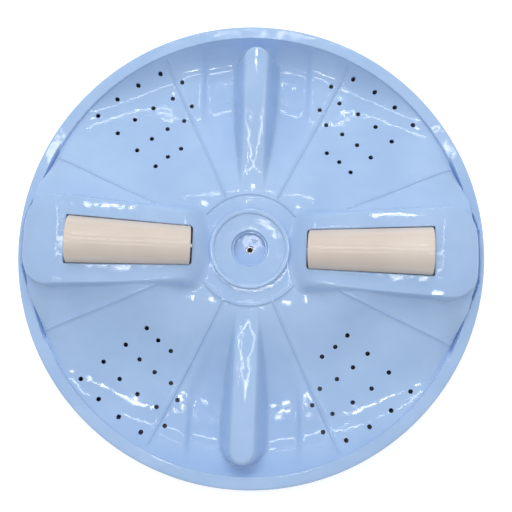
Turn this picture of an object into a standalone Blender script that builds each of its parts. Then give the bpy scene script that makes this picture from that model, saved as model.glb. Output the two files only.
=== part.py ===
"""Washing machine pulsator: a dished, perforated disc with two scrub rollers, two vanes and a splined hub.

The disc is one thin-walled moulding. Its deck is a height over the plan, so the wall keeps its thickness
under every form. The base plane is the lower edge of the skirt, +Z is the spin axis and the rollers lie along X.
All sizes are in metres. Heights named *_ABOVE_RIM are measured from the top of the rim.
"""

import math

import bmesh
import bpy
from mathutils import Matrix, Vector

# Disc
DISC_RADIUS = 0.190
SKIRT_HEIGHT = 0.028
WALL = 0.0026
LIP_WIDTH = 0.0112
LIP_STEP = 0.0026
LIP_STEP_RUN = 0.0012
EDGE_ROUND = 0.0022
EDGE_ROW_SHARE = 0.3

# Deck between the hub and the lip
SHOULDER_ABOVE_RIM = 0.0022
PANEL_DEPTH = 0.0178
DEEPEST_RADIUS = 0.132
RIM_POWER = 3.4
APRON_WALL_RUN = 0.0030
APRON_WALL_SLOPE = 6.0
APRON_WALL_FADE = math.radians(10)
APRON_FILLET = 0.0060
FAN_FOOT_ANGLE = math.radians(66.0)
FAN_RISE = 0.0245
FAN_POWER = 1.5
FAN_LIMIT = 1.28
FAN_START_RADIUS = 0.038
FAN_FULL_RADIUS = 0.100
TROUGH_DEPTH = 0.0030
TROUGH_EDGE = 0.0455
TROUGH_EDGE_WIDTH = 0.0060
TROUGH_START = 0.055
TROUGH_RUN = 0.060
TROUGH_FADE = math.radians(7)

# Hub
HUB_FACE_ABOVE_RIM = 0.0042
HUB_FACE_RADIUS = 0.0288
RING_WIDTH = 0.0040
RING_RISE = 0.0016
RING_SHOULDER_IN = 0.2
RING_SHOULDER_DOWN = 0.25
RECESS_RADIUS = 0.0147
RECESS_DEPTH = 0.0085
RECESS_STEP_DEPTH = 0.0034
RECESS_STEP_WIDTH = 0.0018
RECESS_FLOOR = 0.0040
SCREW_HOLE_RADIUS = 0.0031
BOSS_WALL = 0.0030
BOSS_CLEAR_OF_BASE = 0.0020

# Spline insert in the hub
INSERT_RADIUS = 0.0105
INSERT_HEIGHT = 0.0170
INSERT_WEB = 0.0025
INSERT_HOLE_RADIUS = 0.0021
SPLINE_TEETH = 11
SPLINE_TIP_RADIUS = 0.0052
SPLINE_ROOT_RADIUS = 0.0062
TOOTH_FLANK_SHARE = 0.06
TOOTH_DUTY = 0.5

# Rollers
ROLLER_START = 0.0476
ROLLER_LENGTH = 0.0955
ROLLER_INNER_RADIUS = 0.0158
ROLLER_OUTER_RADIUS = 0.0189
ROLLER_SINK = 0.0048
ROLLER_TILT = math.radians(9.0)
ROLLER_WALL = 0.0022
ROLLER_ROUND = 0.0009
PLUG_THICKNESS = 0.0060
INNER_END_WALL = 0.0044
SPIGOT_LENGTH = 0.0044
AXLE_RADIUS = 0.0025
AXLE_CHAMFER = 0.0005
AXLE_SEAT = 0.0030
AXLE_BLOCK_WALL = 0.0010

# Pods round the rollers
CREST_START_ABOVE_RIM = 0.0135
POD_BAND = 0.0129
POD_SPREAD = 0.0584
POD_NOSE_INSET = 0.0002
POD_CORNER = 0.021
POD_FLANK = 5.0
POD_NOSE_DROP_START = 0.0071
POD_NOSE_DROP = 0.0065
POD_CROWN = 0.0010
POD_HUB_SLOPE = 1.15
POD_TOP_FILLET = 0.0050
POD_HUB_FILLET = 0.0045
POD_FOOT_FILLET = 0.0020

# Vanes across the rollers
VANE_START = 0.052
VANE_RIM_INSET = 0.0208
VANE_TOP_HALF = 0.0062
VANE_FLANK = 3.4
VANE_CAMBER = 40.0
VANE_START_ABOVE_RIM = 0.0030
VANE_END_ABOVE_RIM = 0.0100
VANE_TOP_FILLET = 0.0055
VANE_FOOT_FILLET = 0.0060

# Thin ribs on the deck
RIB_WIDTH = 0.0018
RIB_RISE = 0.0012
RIB_TOP_SHARE = 0.6
ARC_RIB_RADIUS = 0.0455
ARC_RIB_HALF_ANGLE = math.radians(52)
STEEP_RIB_ANGLE = math.radians(64.2)
SHALLOW_RIB_ANGLE = math.radians(23.8)
SHALLOW_RIB_START = 0.080

# Drain holes: columns by angle from the roller axis, rows inwards from the lip's crease
HOLE_RADIUS = 0.0018
HOLE_ROW_INSET = 0.0072
HOLE_ROW_PITCH = 0.02223
HOLE_ROW_COUNT = 4
FIRST_COLUMN = math.radians(39.6)
COLUMN_PITCH = math.radians(7.2)
COLUMNS = 4
INNER_ROW_COLUMNS = 3
EXTRA_HOLE_ANGLE = math.radians(66.1)
EXTRA_HOLE_SHARES = (0.44, 0.45)

# Underside
GAP = 0.0003
WINDOW_SIDE_GAP = 0.0007
END_GAP = 0.0012
POCKET_CLEARANCE = 0.0012
POCKET_WALL = 0.0022
SEAT_HEIGHT = 0.0200
WEB_THICKNESS = 0.0020
WEB_BOTTOM = 0.0020
WEB_ANGLES = tuple(math.radians(a) for a in (50.4, 72.0))
WINDOW_CORNER = 0.0022
WINDOW_CORNER_ROUND = 0.3
WINDOW_CUT_DEPTH = 0.0057

# Roller covers and their screws
COVER_THICKNESS = 0.0026
COVER_END_MARGIN = 0.0030
COVER_SLOT_WIDTH = 0.0050
COVER_SLOTS = 5
COVER_SLOT_SHARE = 0.72
SCREW_FROM_ROLLER_START = 0.0144
SCREW_FROM_ROLLER_END = 0.0099
SCREW_WALL = 0.0025
SCREW_BOSS_RADIUS = 0.0038
SCREW_SHANK_RADIUS = 0.0015
SCREW_SHANK_LENGTH = 0.0110
SCREW_HEAD_RADIUS = 0.0033
SCREW_HEAD_HEIGHT = 0.0022
SCREW_HEAD_RIM_SHARE = 0.45
SCREW_HEAD_FACE_SHARE = 0.7
SCREW_TIP_SHARE = 0.3
SCREW_TIP_CLEARANCE = 0.0015

# Fineness of the meshes
POD_TOP_SHARES = (0.0, 0.62)
POD_EDGE_OFFSETS = (-0.0014, 0.0003, 0.0024)
VANE_LINES = (0.0130, 0.0074, 0.0)
NOSE_ROWS = (-0.0012, 0.0004, 0.0034)
DOME_ROWS = (0.25, 0.75)
BALL_STEPS = 12
BALL_SHARES = (0.4, 0.75, 1.0)
ROUND_SEGMENTS = 24
AXLE_SIDES = 16
SCREW_SIDES = 8
POST_SIDES = 8
BORE_SIDES = 12
SLOT_STEPS = 8
HOLE_SIDES = 6
WEB_STEPS = 7
ARC_RIB_STEPS = 8
STEEP_RIB_STEPS = 8
SHALLOW_RIB_STEPS = 6

# Worked out from the sizes above
RIM_TOP = SKIRT_HEIGHT
CREASE_RADIUS = DISC_RADIUS - LIP_WIDTH
RIM_FOOT = RIM_TOP - LIP_STEP
LIP_TOP_OUTER = DISC_RADIUS - EDGE_ROUND
RING_OUTER_RADIUS = HUB_FACE_RADIUS + RING_WIDTH
SHOULDER_HEIGHT = RIM_TOP + SHOULDER_ABOVE_RIM
HUB_FACE = RIM_TOP + HUB_FACE_ABOVE_RIM
RECESS_BOTTOM = HUB_FACE - RECESS_DEPTH
BOSS_RADIUS = RECESS_RADIUS + BOSS_WALL
SOCKET_TOP = RECESS_BOTTOM - RECESS_FLOOR
ROLLER_END = ROLLER_START + ROLLER_LENGTH * math.cos(ROLLER_TILT)
POCKET_START = ROLLER_START - ROLLER_SINK * math.sin(ROLLER_TILT) - END_GAP
POCKET_END = ROLLER_END + ROLLER_OUTER_RADIUS * math.sin(ROLLER_TILT) + END_GAP
POD_HALF_AT_START = ROLLER_INNER_RADIUS + POD_BAND
POD_NOSE_RADIUS = CREASE_RADIUS - POD_NOSE_INSET
POD_NOSE_START = ROLLER_END + POD_NOSE_DROP_START
VANE_END = CREASE_RADIUS - VANE_RIM_INSET
SLOPE_END_RADIUS = RING_OUTER_RADIUS + (CREST_START_ABOVE_RIM - SHOULDER_ABOVE_RIM) / POD_HUB_SLOPE
AXLE_BLOCK = AXLE_SEAT + GAP + AXLE_BLOCK_WALL
AXLE_REACH = POCKET_END - POCKET_START + 2 * AXLE_SEAT
AXLE_LENGTH = (AXLE_REACH - 2 * AXLE_RADIUS * math.sin(ROLLER_TILT)) / math.cos(ROLLER_TILT)
SCREW_STATIONS = (ROLLER_START + SCREW_FROM_ROLLER_START, ROLLER_END - SCREW_FROM_ROLLER_END)
HOLE_ROWS = [CREASE_RADIUS - HOLE_ROW_INSET - HOLE_ROW_PITCH * i for i in reversed(range(HOLE_ROW_COUNT))]
EXTRA_HOLE_RADII = [
    HOLE_ROWS[i + 1] + (HOLE_ROWS[i + 2] - HOLE_ROWS[i + 1]) * share
    for i, share in enumerate(EXTRA_HOLE_SHARES)
]
RING_WEB_RADIUS = (HOLE_ROWS[0] + HOLE_ROWS[1]) / 2
SECTOR_ANGLES = (
    [(SHALLOW_RIB_ANGLE + FIRST_COLUMN - COLUMN_PITCH / 2) / 2]
    + [FIRST_COLUMN + COLUMN_PITCH * (i - 0.5) for i in range(COLUMNS)]
    + [(FIRST_COLUMN + COLUMN_PITCH * (COLUMNS - 1) + EXTRA_HOLE_ANGLE) / 2, WEB_ANGLES[-1]]
)
POD_LINES = len(POD_TOP_SHARES) + len(POD_EDGE_OFFSETS)
QUADRANT_LINES = POD_LINES + len(SECTOR_ANGLES) + len(VANE_LINES)


def clear_scene():
    for obj in list(bpy.data.objects):
        bpy.data.objects.remove(obj, do_unlink=True)


def make_material(name, colour, roughness, metallic=0.0):
    material = bpy.data.materials.new(name)
    material.use_nodes = True
    shader = material.node_tree.nodes["Principled BSDF"]
    shader.inputs["Base Color"].default_value = (*colour, 1.0)
    shader.inputs["Roughness"].default_value = roughness
    shader.inputs["Metallic"].default_value = metallic
    return material


def ease(value):
    """Smooth step from 0 to 1, level at both ends."""
    value = min(max(value, 0.0), 1.0)
    return value * value * (3.0 - 2.0 * value)


def mix(first, second, share):
    return first + (second - first) * share


# Heights of the deck


def lower_of(first, second, blend):
    """The lower of two surfaces, with a fillet where they cross."""
    near = max(blend - abs(first - second), 0.0) / blend
    return min(first, second) - near * near * blend / 4


def higher_of(first, second, blend):
    return -lower_of(-first, -second, blend)


def fan_rise(radius, angle):
    """The ground that climbs like a fan from beside the vane to the foot of the pod."""
    turn = (FAN_FOOT_ANGLE - angle) / (FAN_FOOT_ANGLE - SHALLOW_RIB_ANGLE)
    out = ease((radius - FAN_START_RADIUS) / (FAN_FULL_RADIUS - FAN_START_RADIUS))
    return FAN_RISE * min(max(turn, 0.0), FAN_LIMIT) ** FAN_POWER * out


def trough_drop(x, y, angle):
    """The trough beside each vane, with a turned edge that runs beside the vane."""
    across = 1.0 - ease((x - TROUGH_EDGE) / TROUGH_EDGE_WIDTH + 0.5)
    along = ease((y - TROUGH_START) / TROUGH_RUN)
    return TROUGH_DEPTH * across * along * ease((angle - FAN_FOOT_ANGLE) / TROUGH_FADE)


def ground_height(x, y):
    """The basin with its fan and troughs, turned up at the lip, or walled where the ground stays high."""
    radius = math.hypot(x, y)
    angle = math.atan2(y, x)
    inward = ease((radius - RING_OUTER_RADIUS) / (DEEPEST_RADIUS - RING_OUTER_RADIUS))
    ground = mix(SHOULDER_HEIGHT, RIM_TOP - PANEL_DEPTH, inward)
    ground += fan_rise(radius, angle) - trough_drop(x, y, angle)
    out = min(max((radius - DEEPEST_RADIUS) / (CREASE_RADIUS - DEEPEST_RADIUS), 0.0), 1.0)
    turned_up = mix(ground, RIM_FOOT, out**RIM_POWER)
    wall = RIM_FOOT + (CREASE_RADIUS + APRON_WALL_RUN - radius) * APRON_WALL_SLOPE
    near_pod = ease((SHALLOW_RIB_ANGLE - angle) / APRON_WALL_FADE)
    return mix(turned_up, lower_of(ground, wall, APRON_FILLET), near_pod)


def lip_height(radius):
    """The lip's inner step, its flat top and its rounded outer edge."""
    height = RIM_TOP - LIP_STEP * (1.0 - ease((radius - CREASE_RADIUS) / LIP_STEP_RUN))
    fall = min(max((radius - LIP_TOP_OUTER) / EDGE_ROUND, 0.0), 1.0)
    return height - EDGE_ROUND * (1.0 - math.sqrt(1.0 - fall * fall))


def crest_height(x):
    """The top line of a pod: it climbs outwards with the roller, then dips towards the rim."""
    climb = min(x, POD_NOSE_START) - ROLLER_START
    dip = max(0.0, x - POD_NOSE_START) / (DISC_RADIUS - POD_NOSE_START)
    return RIM_TOP + CREST_START_ABOVE_RIM + climb * math.tan(ROLLER_TILT) - POD_NOSE_DROP * dip * dip


def pod_half_width(x):
    return POD_HALF_AT_START + POD_SPREAD * (x - ROLLER_START)


def pod_distance(x, y):
    """How far a point lies outside the pod's outline, a spreading box with a round nose."""
    beside = y - pod_half_width(x) + POD_CORNER
    beyond = math.hypot(x, y) - POD_NOSE_RADIUS + POD_CORNER
    return math.hypot(max(beside, 0.0), max(beyond, 0.0)) + min(max(beside, beyond), 0.0) - POD_CORNER


def pod_height(x, y):
    """A crowned top, steep flanks all round and an even slope down to the hub."""
    crest = crest_height(x)
    crowned = crest - POD_CROWN * (y / POD_HALF_AT_START) ** 4
    top = lower_of(crowned, crest - pod_distance(x, y) * POD_FLANK, POD_TOP_FILLET)
    hub_slope = SHOULDER_HEIGHT + (math.hypot(x, y) - RING_OUTER_RADIUS) * POD_HUB_SLOPE
    return lower_of(top, hub_slope, POD_HUB_FILLET)


def vane_height(x, y):
    """A thumb-like ridge: a slightly cambered top that climbs outwards and ends in a dome."""
    climb = mix(VANE_START_ABOVE_RIM, VANE_END_ABOVE_RIM, (y - VANE_START) / (VANE_END - VANE_START))
    crest = RIM_TOP + climb
    reach = math.hypot(x, max(y - VANE_END, 0.0))
    flank = crest - (reach - VANE_TOP_HALF) * VANE_FLANK
    return lower_of(crest - VANE_CAMBER * x * x, flank, VANE_TOP_FILLET)


def deck_height(x, y):
    """The top surface of the disc anywhere outside the hub's ring."""
    x = abs(x)
    y = abs(y)
    radius = math.hypot(x, y)
    ground = ground_height(x, y)
    if radius > CREASE_RADIUS:
        ground = max(ground, lip_height(radius))
    deck = higher_of(ground, vane_height(x, y), VANE_FOOT_FILLET)
    return higher_of(deck, pod_height(x, y), POD_FOOT_FILLET)


def under_height(x, y):
    """The underside of the deck: the lowest of balls of the wall's thickness rolled along the top."""
    under = deck_height(x, y) - WALL
    for share in BALL_SHARES:
        reach = WALL * share
        drop = math.sqrt(WALL * WALL - reach * reach)
        for i in range(BALL_STEPS):
            turn = 2 * math.pi * i / BALL_STEPS
            under = min(under, deck_height(x + reach * math.cos(turn), y + reach * math.sin(turn)) - drop)
    return under


def middle_height(x, y):
    """Inside the wall, where ribs and webs end."""
    return deck_height(x, y) - WALL / 2


# Mesh helpers


def link_mesh(name, mesh, material=None):
    obj = bpy.data.objects.new(name, mesh)
    if material:
        mesh.materials.append(material)
    bpy.context.scene.collection.objects.link(obj)
    return obj


def mesh_from_bmesh(name, bm):
    bmesh.ops.triangulate(bm, faces=bm.faces)
    bmesh.ops.recalc_face_normals(bm, faces=bm.faces)
    mesh = bpy.data.meshes.new(name)
    bm.to_mesh(mesh)
    bm.free()
    return mesh


def ring_grid(name, rings, close_rings=True, close_ends=False):
    """A mesh skinned over rings of points. A ring may have a whole share of the points of the next."""
    bm = bmesh.new()
    rows = [[bm.verts.new(point) for point in ring] for ring in rings]
    count = len(rows)
    for i in range(count if close_rings else count - 1):
        row = rows[i]
        after = rows[(i + 1) % count]
        fine, coarse = (row, after) if len(row) >= len(after) else (after, row)
        step = len(fine) // len(coarse)
        for j in range(len(coarse)):
            k = (j + 1) % len(coarse)
            along = [fine[(j * step + s) % len(fine)] for s in range(step + 1)]
            bm.faces.new(along + [coarse[k], coarse[j]])
    if close_ends:
        bm.faces.new(rows[0])
        bm.faces.new(rows[-1])
    return mesh_from_bmesh(name, bm)


def prism(name, low, high):
    """A closed body between two matching outlines."""
    return ring_grid(name, [low, high], close_rings=False, close_ends=True)


def turned(name, profile, segments, place=None):
    """A body of revolution about local Z from a closed profile of (radius, height)."""
    rings = []
    for radius, height in profile:
        ring = []
        for j in range(segments):
            turn = 2 * math.pi * j / segments
            point = Vector((radius * math.cos(turn), radius * math.sin(turn), height))
            ring.append(place @ point if place else point)
        rings.append(ring)
    return ring_grid(name, rings)


def cut(obj, cutter_mesh, operation="DIFFERENCE"):
    """Applies one Boolean to the object and drops the cutter."""
    cutter = link_mesh(cutter_mesh.name, cutter_mesh)
    cutter.hide_render = True
    cutter.display_type = "WIRE"
    modifier = obj.modifiers.new("boolean", "BOOLEAN")
    modifier.operation = operation
    modifier.solver = "EXACT"
    modifier.object = cutter
    graph = bpy.context.evaluated_depsgraph_get()
    result = bpy.data.meshes.new_from_object(obj.evaluated_get(graph))
    obj.modifiers.clear()
    old = obj.data
    obj.data = result
    bpy.data.meshes.remove(old)
    bpy.data.objects.remove(cutter, do_unlink=True)


def joined(name, meshes):
    """Separate bodies in one mesh, for one Boolean with all of them."""
    bm = bmesh.new()
    for mesh in meshes:
        bm.from_mesh(mesh)
        bpy.data.meshes.remove(mesh)
    result = bpy.data.meshes.new(name)
    bm.to_mesh(result)
    bm.free()
    return result


def smooth(obj, angle=math.radians(40)):
    obj.data.shade_smooth()
    obj.data.set_sharp_from_angle(angle=angle)


def mirrored_angle(angle, quadrant):
    """The same line in each quadrant, mirrored about X and Y."""
    return (angle, math.pi - angle, math.pi + angle, 2 * math.pi - angle)[quadrant]


# Disc


def pod_edge(radius):
    """How far from the roller's axis the pod's outline lies, on a circle about the hub."""
    x = math.sqrt(radius * radius - POD_HALF_AT_START * POD_HALF_AT_START)
    beyond = min(max(radius - POD_NOSE_RADIUS + POD_CORNER, 0.0), POD_CORNER / math.sqrt(2))
    return pod_half_width(x) - POD_CORNER + math.sqrt(POD_CORNER * POD_CORNER - beyond * beyond)


def pod_line_offset(radius, line):
    edge = pod_edge(radius)
    if line < len(POD_TOP_SHARES):
        return edge * POD_TOP_SHARES[line]
    return edge + POD_EDGE_OFFSETS[line - len(POD_TOP_SHARES)]


def outer_line_angle(radius, line):
    """The polar angle of a grid line: lines follow the pods and vanes, and run between the holes."""
    if line < POD_LINES:
        return math.asin(pod_line_offset(radius, line) / radius)
    sector = line - POD_LINES
    if sector >= len(SECTOR_ANGLES):
        return math.pi / 2 - math.asin(VANE_LINES[sector - len(SECTOR_ANGLES)] / radius)
    last_pod_line = math.asin(pod_line_offset(radius, POD_LINES - 1) / radius)
    first_vane_line = math.pi / 2 - math.asin(VANE_LINES[0] / radius)
    even = mix(last_pod_line, first_vane_line, (sector + 1) / (len(SECTOR_ANGLES) + 1))
    fan = (radius - RING_OUTER_RADIUS) / (RING_WEB_RADIUS - RING_OUTER_RADIUS)
    return mix(even, SECTOR_ANGLES[sector], ease(fan))


def line_angle(radius, line):
    """Lines are even round the hub, follow the forms across the deck and are even again on the lip."""
    inner_even = math.pi / 2 * line / (QUADRANT_LINES - 1)
    leave_hub = ease((radius - RING_OUTER_RADIUS) / (SLOPE_END_RADIUS - RING_OUTER_RADIUS))
    angle = mix(inner_even, outer_line_angle(max(radius, SLOPE_END_RADIUS), line), leave_hub)
    if line >= POD_LINES:
        last_row = (HOLE_ROWS[-1] + CREASE_RADIUS) / 2
        last_pod_line = outer_line_angle(max(radius, SLOPE_END_RADIUS), POD_LINES - 1)
        pitch = (math.pi / 2 - last_pod_line) / (QUADRANT_LINES - POD_LINES)
        lip_even = last_pod_line + pitch * (line - POD_LINES + 1)
        angle = mix(angle, lip_even, ease((radius - last_row) / (CREASE_RADIUS - last_row)))
    return angle


def deck_ring(radius, height, skip=1):
    """One ring of the disc's grid: round the whole circle, height from a value or from the plan."""
    angles = []
    for quadrant in range(4):
        lines = range(QUADRANT_LINES - 1) if quadrant % 2 == 0 else range(QUADRANT_LINES - 1, 0, -1)
        angles += [mirrored_angle(line_angle(radius, line), quadrant) for line in lines]
    ring = []
    for angle in angles[::skip]:
        x = radius * math.cos(angle)
        y = radius * math.sin(angle)
        ring.append((x, y, height(x, y) if callable(height) else height))
    return ring


def spread(start, end, steps):
    """Radii from start to end, both included."""
    return [mix(start, end, i / steps) for i in range(steps + 1)]


def hole_free_radii():
    """Rows of the grid that pass between the rows of drain holes."""
    radii = [HOLE_ROWS[0] - COLUMN_PITCH * HOLE_ROWS[0] / 2]
    rows = sorted(HOLE_ROWS + EXTRA_HOLE_RADII)
    for inner, outer in zip(rows, rows[1:-1]):
        radii.append((inner + outer) / 2)
    return radii


def dome_radii():
    """Rows of the grid over the domed end of a vane, clear of the last rows of holes."""
    dome = [mix(EXTRA_HOLE_RADII[-1], HOLE_ROWS[-1], share) for share in DOME_ROWS]
    return dome + [(HOLE_ROWS[-1] + CREASE_RADIUS) / 2]


def make_disc(material):
    step_radius = RECESS_RADIUS - RECESS_STEP_WIDTH
    step_height = HUB_FACE - RECESS_STEP_DEPTH
    ring_top = HUB_FACE + RING_RISE
    ring_shoulder = ring_top - RING_RISE * RING_SHOULDER_DOWN
    ring_middle = HUB_FACE_RADIUS + RING_WIDTH / 2
    hub_top = [
        (SCREW_HOLE_RADIUS, RECESS_BOTTOM),
        (step_radius, RECESS_BOTTOM),
        (step_radius, step_height),
        (RECESS_RADIUS, step_height),
        (RECESS_RADIUS, HUB_FACE),
        (HUB_FACE_RADIUS, HUB_FACE),
        (HUB_FACE_RADIUS + RING_WIDTH * RING_SHOULDER_IN, ring_shoulder),
        (ring_middle, ring_top),
        (RING_OUTER_RADIUS - RING_WIDTH * RING_SHOULDER_IN, ring_shoulder),
    ]
    panel_radii = hole_free_radii()
    edge_radii = dome_radii() + [CREASE_RADIUS + row for row in NOSE_ROWS]
    slope_radii = spread(RING_OUTER_RADIUS, SLOPE_END_RADIUS, 2)[:-1]
    inner_radii = spread(SLOPE_END_RADIUS, panel_radii[0], 4)[:-1]
    top_radii = slope_radii + inner_radii + panel_radii + edge_radii + [LIP_TOP_OUTER]
    skirt_inner = DISC_RADIUS - WALL
    lip_under = RIM_TOP - WALL
    under_radii = edge_radii[::-1] + panel_radii[::-2] + inner_radii[::-1] + slope_radii[::-1]
    socket_radius = INSERT_RADIUS + GAP
    boss_bottom = BOSS_CLEAR_OF_BASE
    hub_under = [
        (BOSS_RADIUS, HUB_FACE - WALL),
        (BOSS_RADIUS, boss_bottom),
        (socket_radius, boss_bottom),
        (socket_radius, SOCKET_TOP),
        (SCREW_HOLE_RADIUS, SOCKET_TOP),
    ]
    rings = [deck_ring(radius, height, 2) for radius, height in hub_top]
    rings += [deck_ring(radius, deck_height) for radius in top_radii]
    edge_middle = DISC_RADIUS - EDGE_ROUND * EDGE_ROW_SHARE
    rings += [
        deck_ring(edge_middle, lip_height(edge_middle)),
        deck_ring(DISC_RADIUS, RIM_TOP - EDGE_ROUND),
        deck_ring(DISC_RADIUS, 0.0),
        deck_ring(skirt_inner, 0.0),
        deck_ring(skirt_inner, lip_under),
    ]
    rings += [deck_ring(radius, under_height) for radius in under_radii]
    rings += [deck_ring(radius, height, 2) for radius, height in hub_under]
    disc = link_mesh("pulsator_disc", ring_grid("pulsator_disc", rings), material)
    add_underside(disc)
    add_deck_ribs(disc)
    cut_windows(disc)
    cut_axle_slots(disc)
    cut_drain_holes(disc)
    cut_pilot_holes(disc)
    smooth(disc)
    return disc


def wall_along(name, path, thickness, bottom, top, closed=False):
    """A wall of one thickness along a plan path. Its top follows a height over the plan."""
    count = len(path)
    rings = []
    for i, point in enumerate(path):
        before = path[(i - 1) % count] if closed or i else point
        after = path[(i + 1) % count] if closed or i < count - 1 else point
        first = (Vector(point) - Vector(before)).normalized() if before != point else None
        second = (Vector(after) - Vector(point)).normalized() if after != point else None
        first = first or second
        second = second or first
        way = (first + second).normalized()
        side = Vector((-way.y, way.x)) * (thickness / 2 / max(way.dot(first), 0.5))
        left = Vector(point) + side
        right = Vector(point) - side
        rings.append(
            (
                (left.x, left.y, bottom),
                (right.x, right.y, bottom),
                (right.x, right.y, top(right.x, right.y)),
                (left.x, left.y, top(left.x, left.y)),
            )
        )
    return ring_grid(name, rings, close_rings=closed, close_ends=not closed)


def radial_path(angle, start, end, steps):
    return [(r * math.cos(angle), r * math.sin(angle)) for r in spread(start, end, steps)]


def arc_path(radius, start, end, steps):
    return [(radius * math.cos(a), radius * math.sin(a)) for a in spread(start, end, steps)]


def rib_top(x, y):
    return deck_height(x, y) + RIB_RISE


def add_deck_ribs(disc):
    """The eight straight ribs and the two arcs that stand on the deck."""
    ribs = []
    arcs = []
    for quadrant in range(4):
        steep = mirrored_angle(STEEP_RIB_ANGLE, quadrant)
        shallow = mirrored_angle(SHALLOW_RIB_ANGLE, quadrant)
        ribs.append(rib(radial_path(steep, ARC_RIB_RADIUS, CREASE_RADIUS, STEEP_RIB_STEPS)))
        ribs.append(rib(radial_path(shallow, SHALLOW_RIB_START, CREASE_RADIUS, SHALLOW_RIB_STEPS)))
    for side in (1, -1):
        ends = (side * math.pi / 2 - ARC_RIB_HALF_ANGLE, side * math.pi / 2 + ARC_RIB_HALF_ANGLE)
        arcs.append(rib(arc_path(ARC_RIB_RADIUS, ends[0], ends[1], ARC_RIB_STEPS)))
    cut(disc, joined("straight_ribs", ribs), "UNION")
    cut(disc, joined("arc_ribs", arcs), "UNION")


def rib(path):
    """A thin rib rooted in the middle of the wall, narrower at its top."""
    count = len(path)
    rings = []
    for i, point in enumerate(path):
        way = (Vector(path[min(i + 1, count - 1)]) - Vector(path[max(i - 1, 0)])).normalized()
        side = Vector((-way.y, way.x)) * RIB_WIDTH / 2
        foot = [Vector(point) + side, Vector(point) - side]
        top = [Vector(point) - side * RIB_TOP_SHARE, Vector(point) + side * RIB_TOP_SHARE]
        ring = [(p.x, p.y, middle_height(p.x, p.y)) for p in foot]
        rings.append(ring + [(p.x, p.y, rib_top(p.x, p.y)) for p in top])
    return ring_grid("deck_rib", rings, close_rings=False, close_ends=True)


def roller_place(side):
    """Local Z along the roller's axis from its narrow end, for the roller on +X or, turned round, on -X."""
    start = Vector((ROLLER_START, 0.0, axis_height(ROLLER_START)))
    along = Vector((math.cos(ROLLER_TILT), 0.0, math.sin(ROLLER_TILT)))
    up = Vector((-math.sin(ROLLER_TILT), 0.0, math.cos(ROLLER_TILT)))
    across = up.cross(along)
    frame = Matrix((up, across, along)).transposed().to_4x4()
    frame.translation = start
    if side < 0:
        frame = Matrix.Rotation(math.pi, 4, "Z") @ frame
    return frame


def axis_height(x):
    crest = RIM_TOP + CREST_START_ABOVE_RIM + (x - ROLLER_START) * math.tan(ROLLER_TILT)
    return crest - ROLLER_SINK / math.cos(ROLLER_TILT)


def roller_radius(along):
    """The roller's radius at a distance from its narrow end."""
    return mix(ROLLER_INNER_RADIUS, ROLLER_OUTER_RADIUS, along / ROLLER_LENGTH)


def window_half_width(along):
    return math.sqrt(roller_radius(along) ** 2 - ROLLER_SINK**2) + WINDOW_SIDE_GAP


def pocket_half_width(along):
    return roller_radius(along) + POCKET_CLEARANCE + POCKET_WALL / 2


def pocket_path(side):
    """The middle line of the wall round a roller, in plan."""
    start = POCKET_START - POCKET_WALL / 2
    end = POCKET_END + POCKET_WALL / 2
    half = []
    for x in (start, end):
        half.append((x, pocket_half_width((x - ROLLER_START) / math.cos(ROLLER_TILT))))
    path = half + [(end, 0.0)] + [(x, -y) for x, y in reversed(half)] + [(start, 0.0)]
    return [(side * x, side * y) for x, y in path]


def axle_blocks():
    """Where the axle's ends sit: the pocket's faces and the way out from the roller."""
    return ((POCKET_START, -1), (POCKET_END, 1))


def axle_block(side, face, way):
    """The thicker part of a pocket's end wall that carries the axle, rooted in the middle of that wall."""
    root = POCKET_WALL / 2
    middle = face + way * (root + AXLE_BLOCK) / 2
    half = AXLE_RADIUS + GAP + POCKET_WALL
    path = [(side * middle, side * y) for y in (-half, half)]
    return wall_along("axle_block", path, AXLE_BLOCK - root, SEAT_HEIGHT, middle_height)


def screw_offset(x):
    """How far beside the roller's axis a cover screw stands: clear of the pocket's wall."""
    pocket_face = pocket_half_width((x - ROLLER_START) / math.cos(ROLLER_TILT)) + POCKET_WALL / 2
    return pocket_face + SCREW_WALL + SCREW_SHANK_RADIUS


def screw_places(side):
    places = []
    for x in SCREW_STATIONS:
        places += [(side * x, screw_offset(x)), (side * x, -screw_offset(x))]
    return places


def post(x, y, radius, bottom):
    """A round post whose top follows the middle of the wall."""
    turns = [2 * math.pi * j / POST_SIDES for j in range(POST_SIDES)]
    plan = [(x + radius * math.cos(t), y + radius * math.sin(t)) for t in turns]
    low = [(px, py, bottom) for px, py in plan]
    high = [(px, py, middle_height(px, py)) for px, py in plan]
    return prism("screw_boss", low, high)


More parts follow.
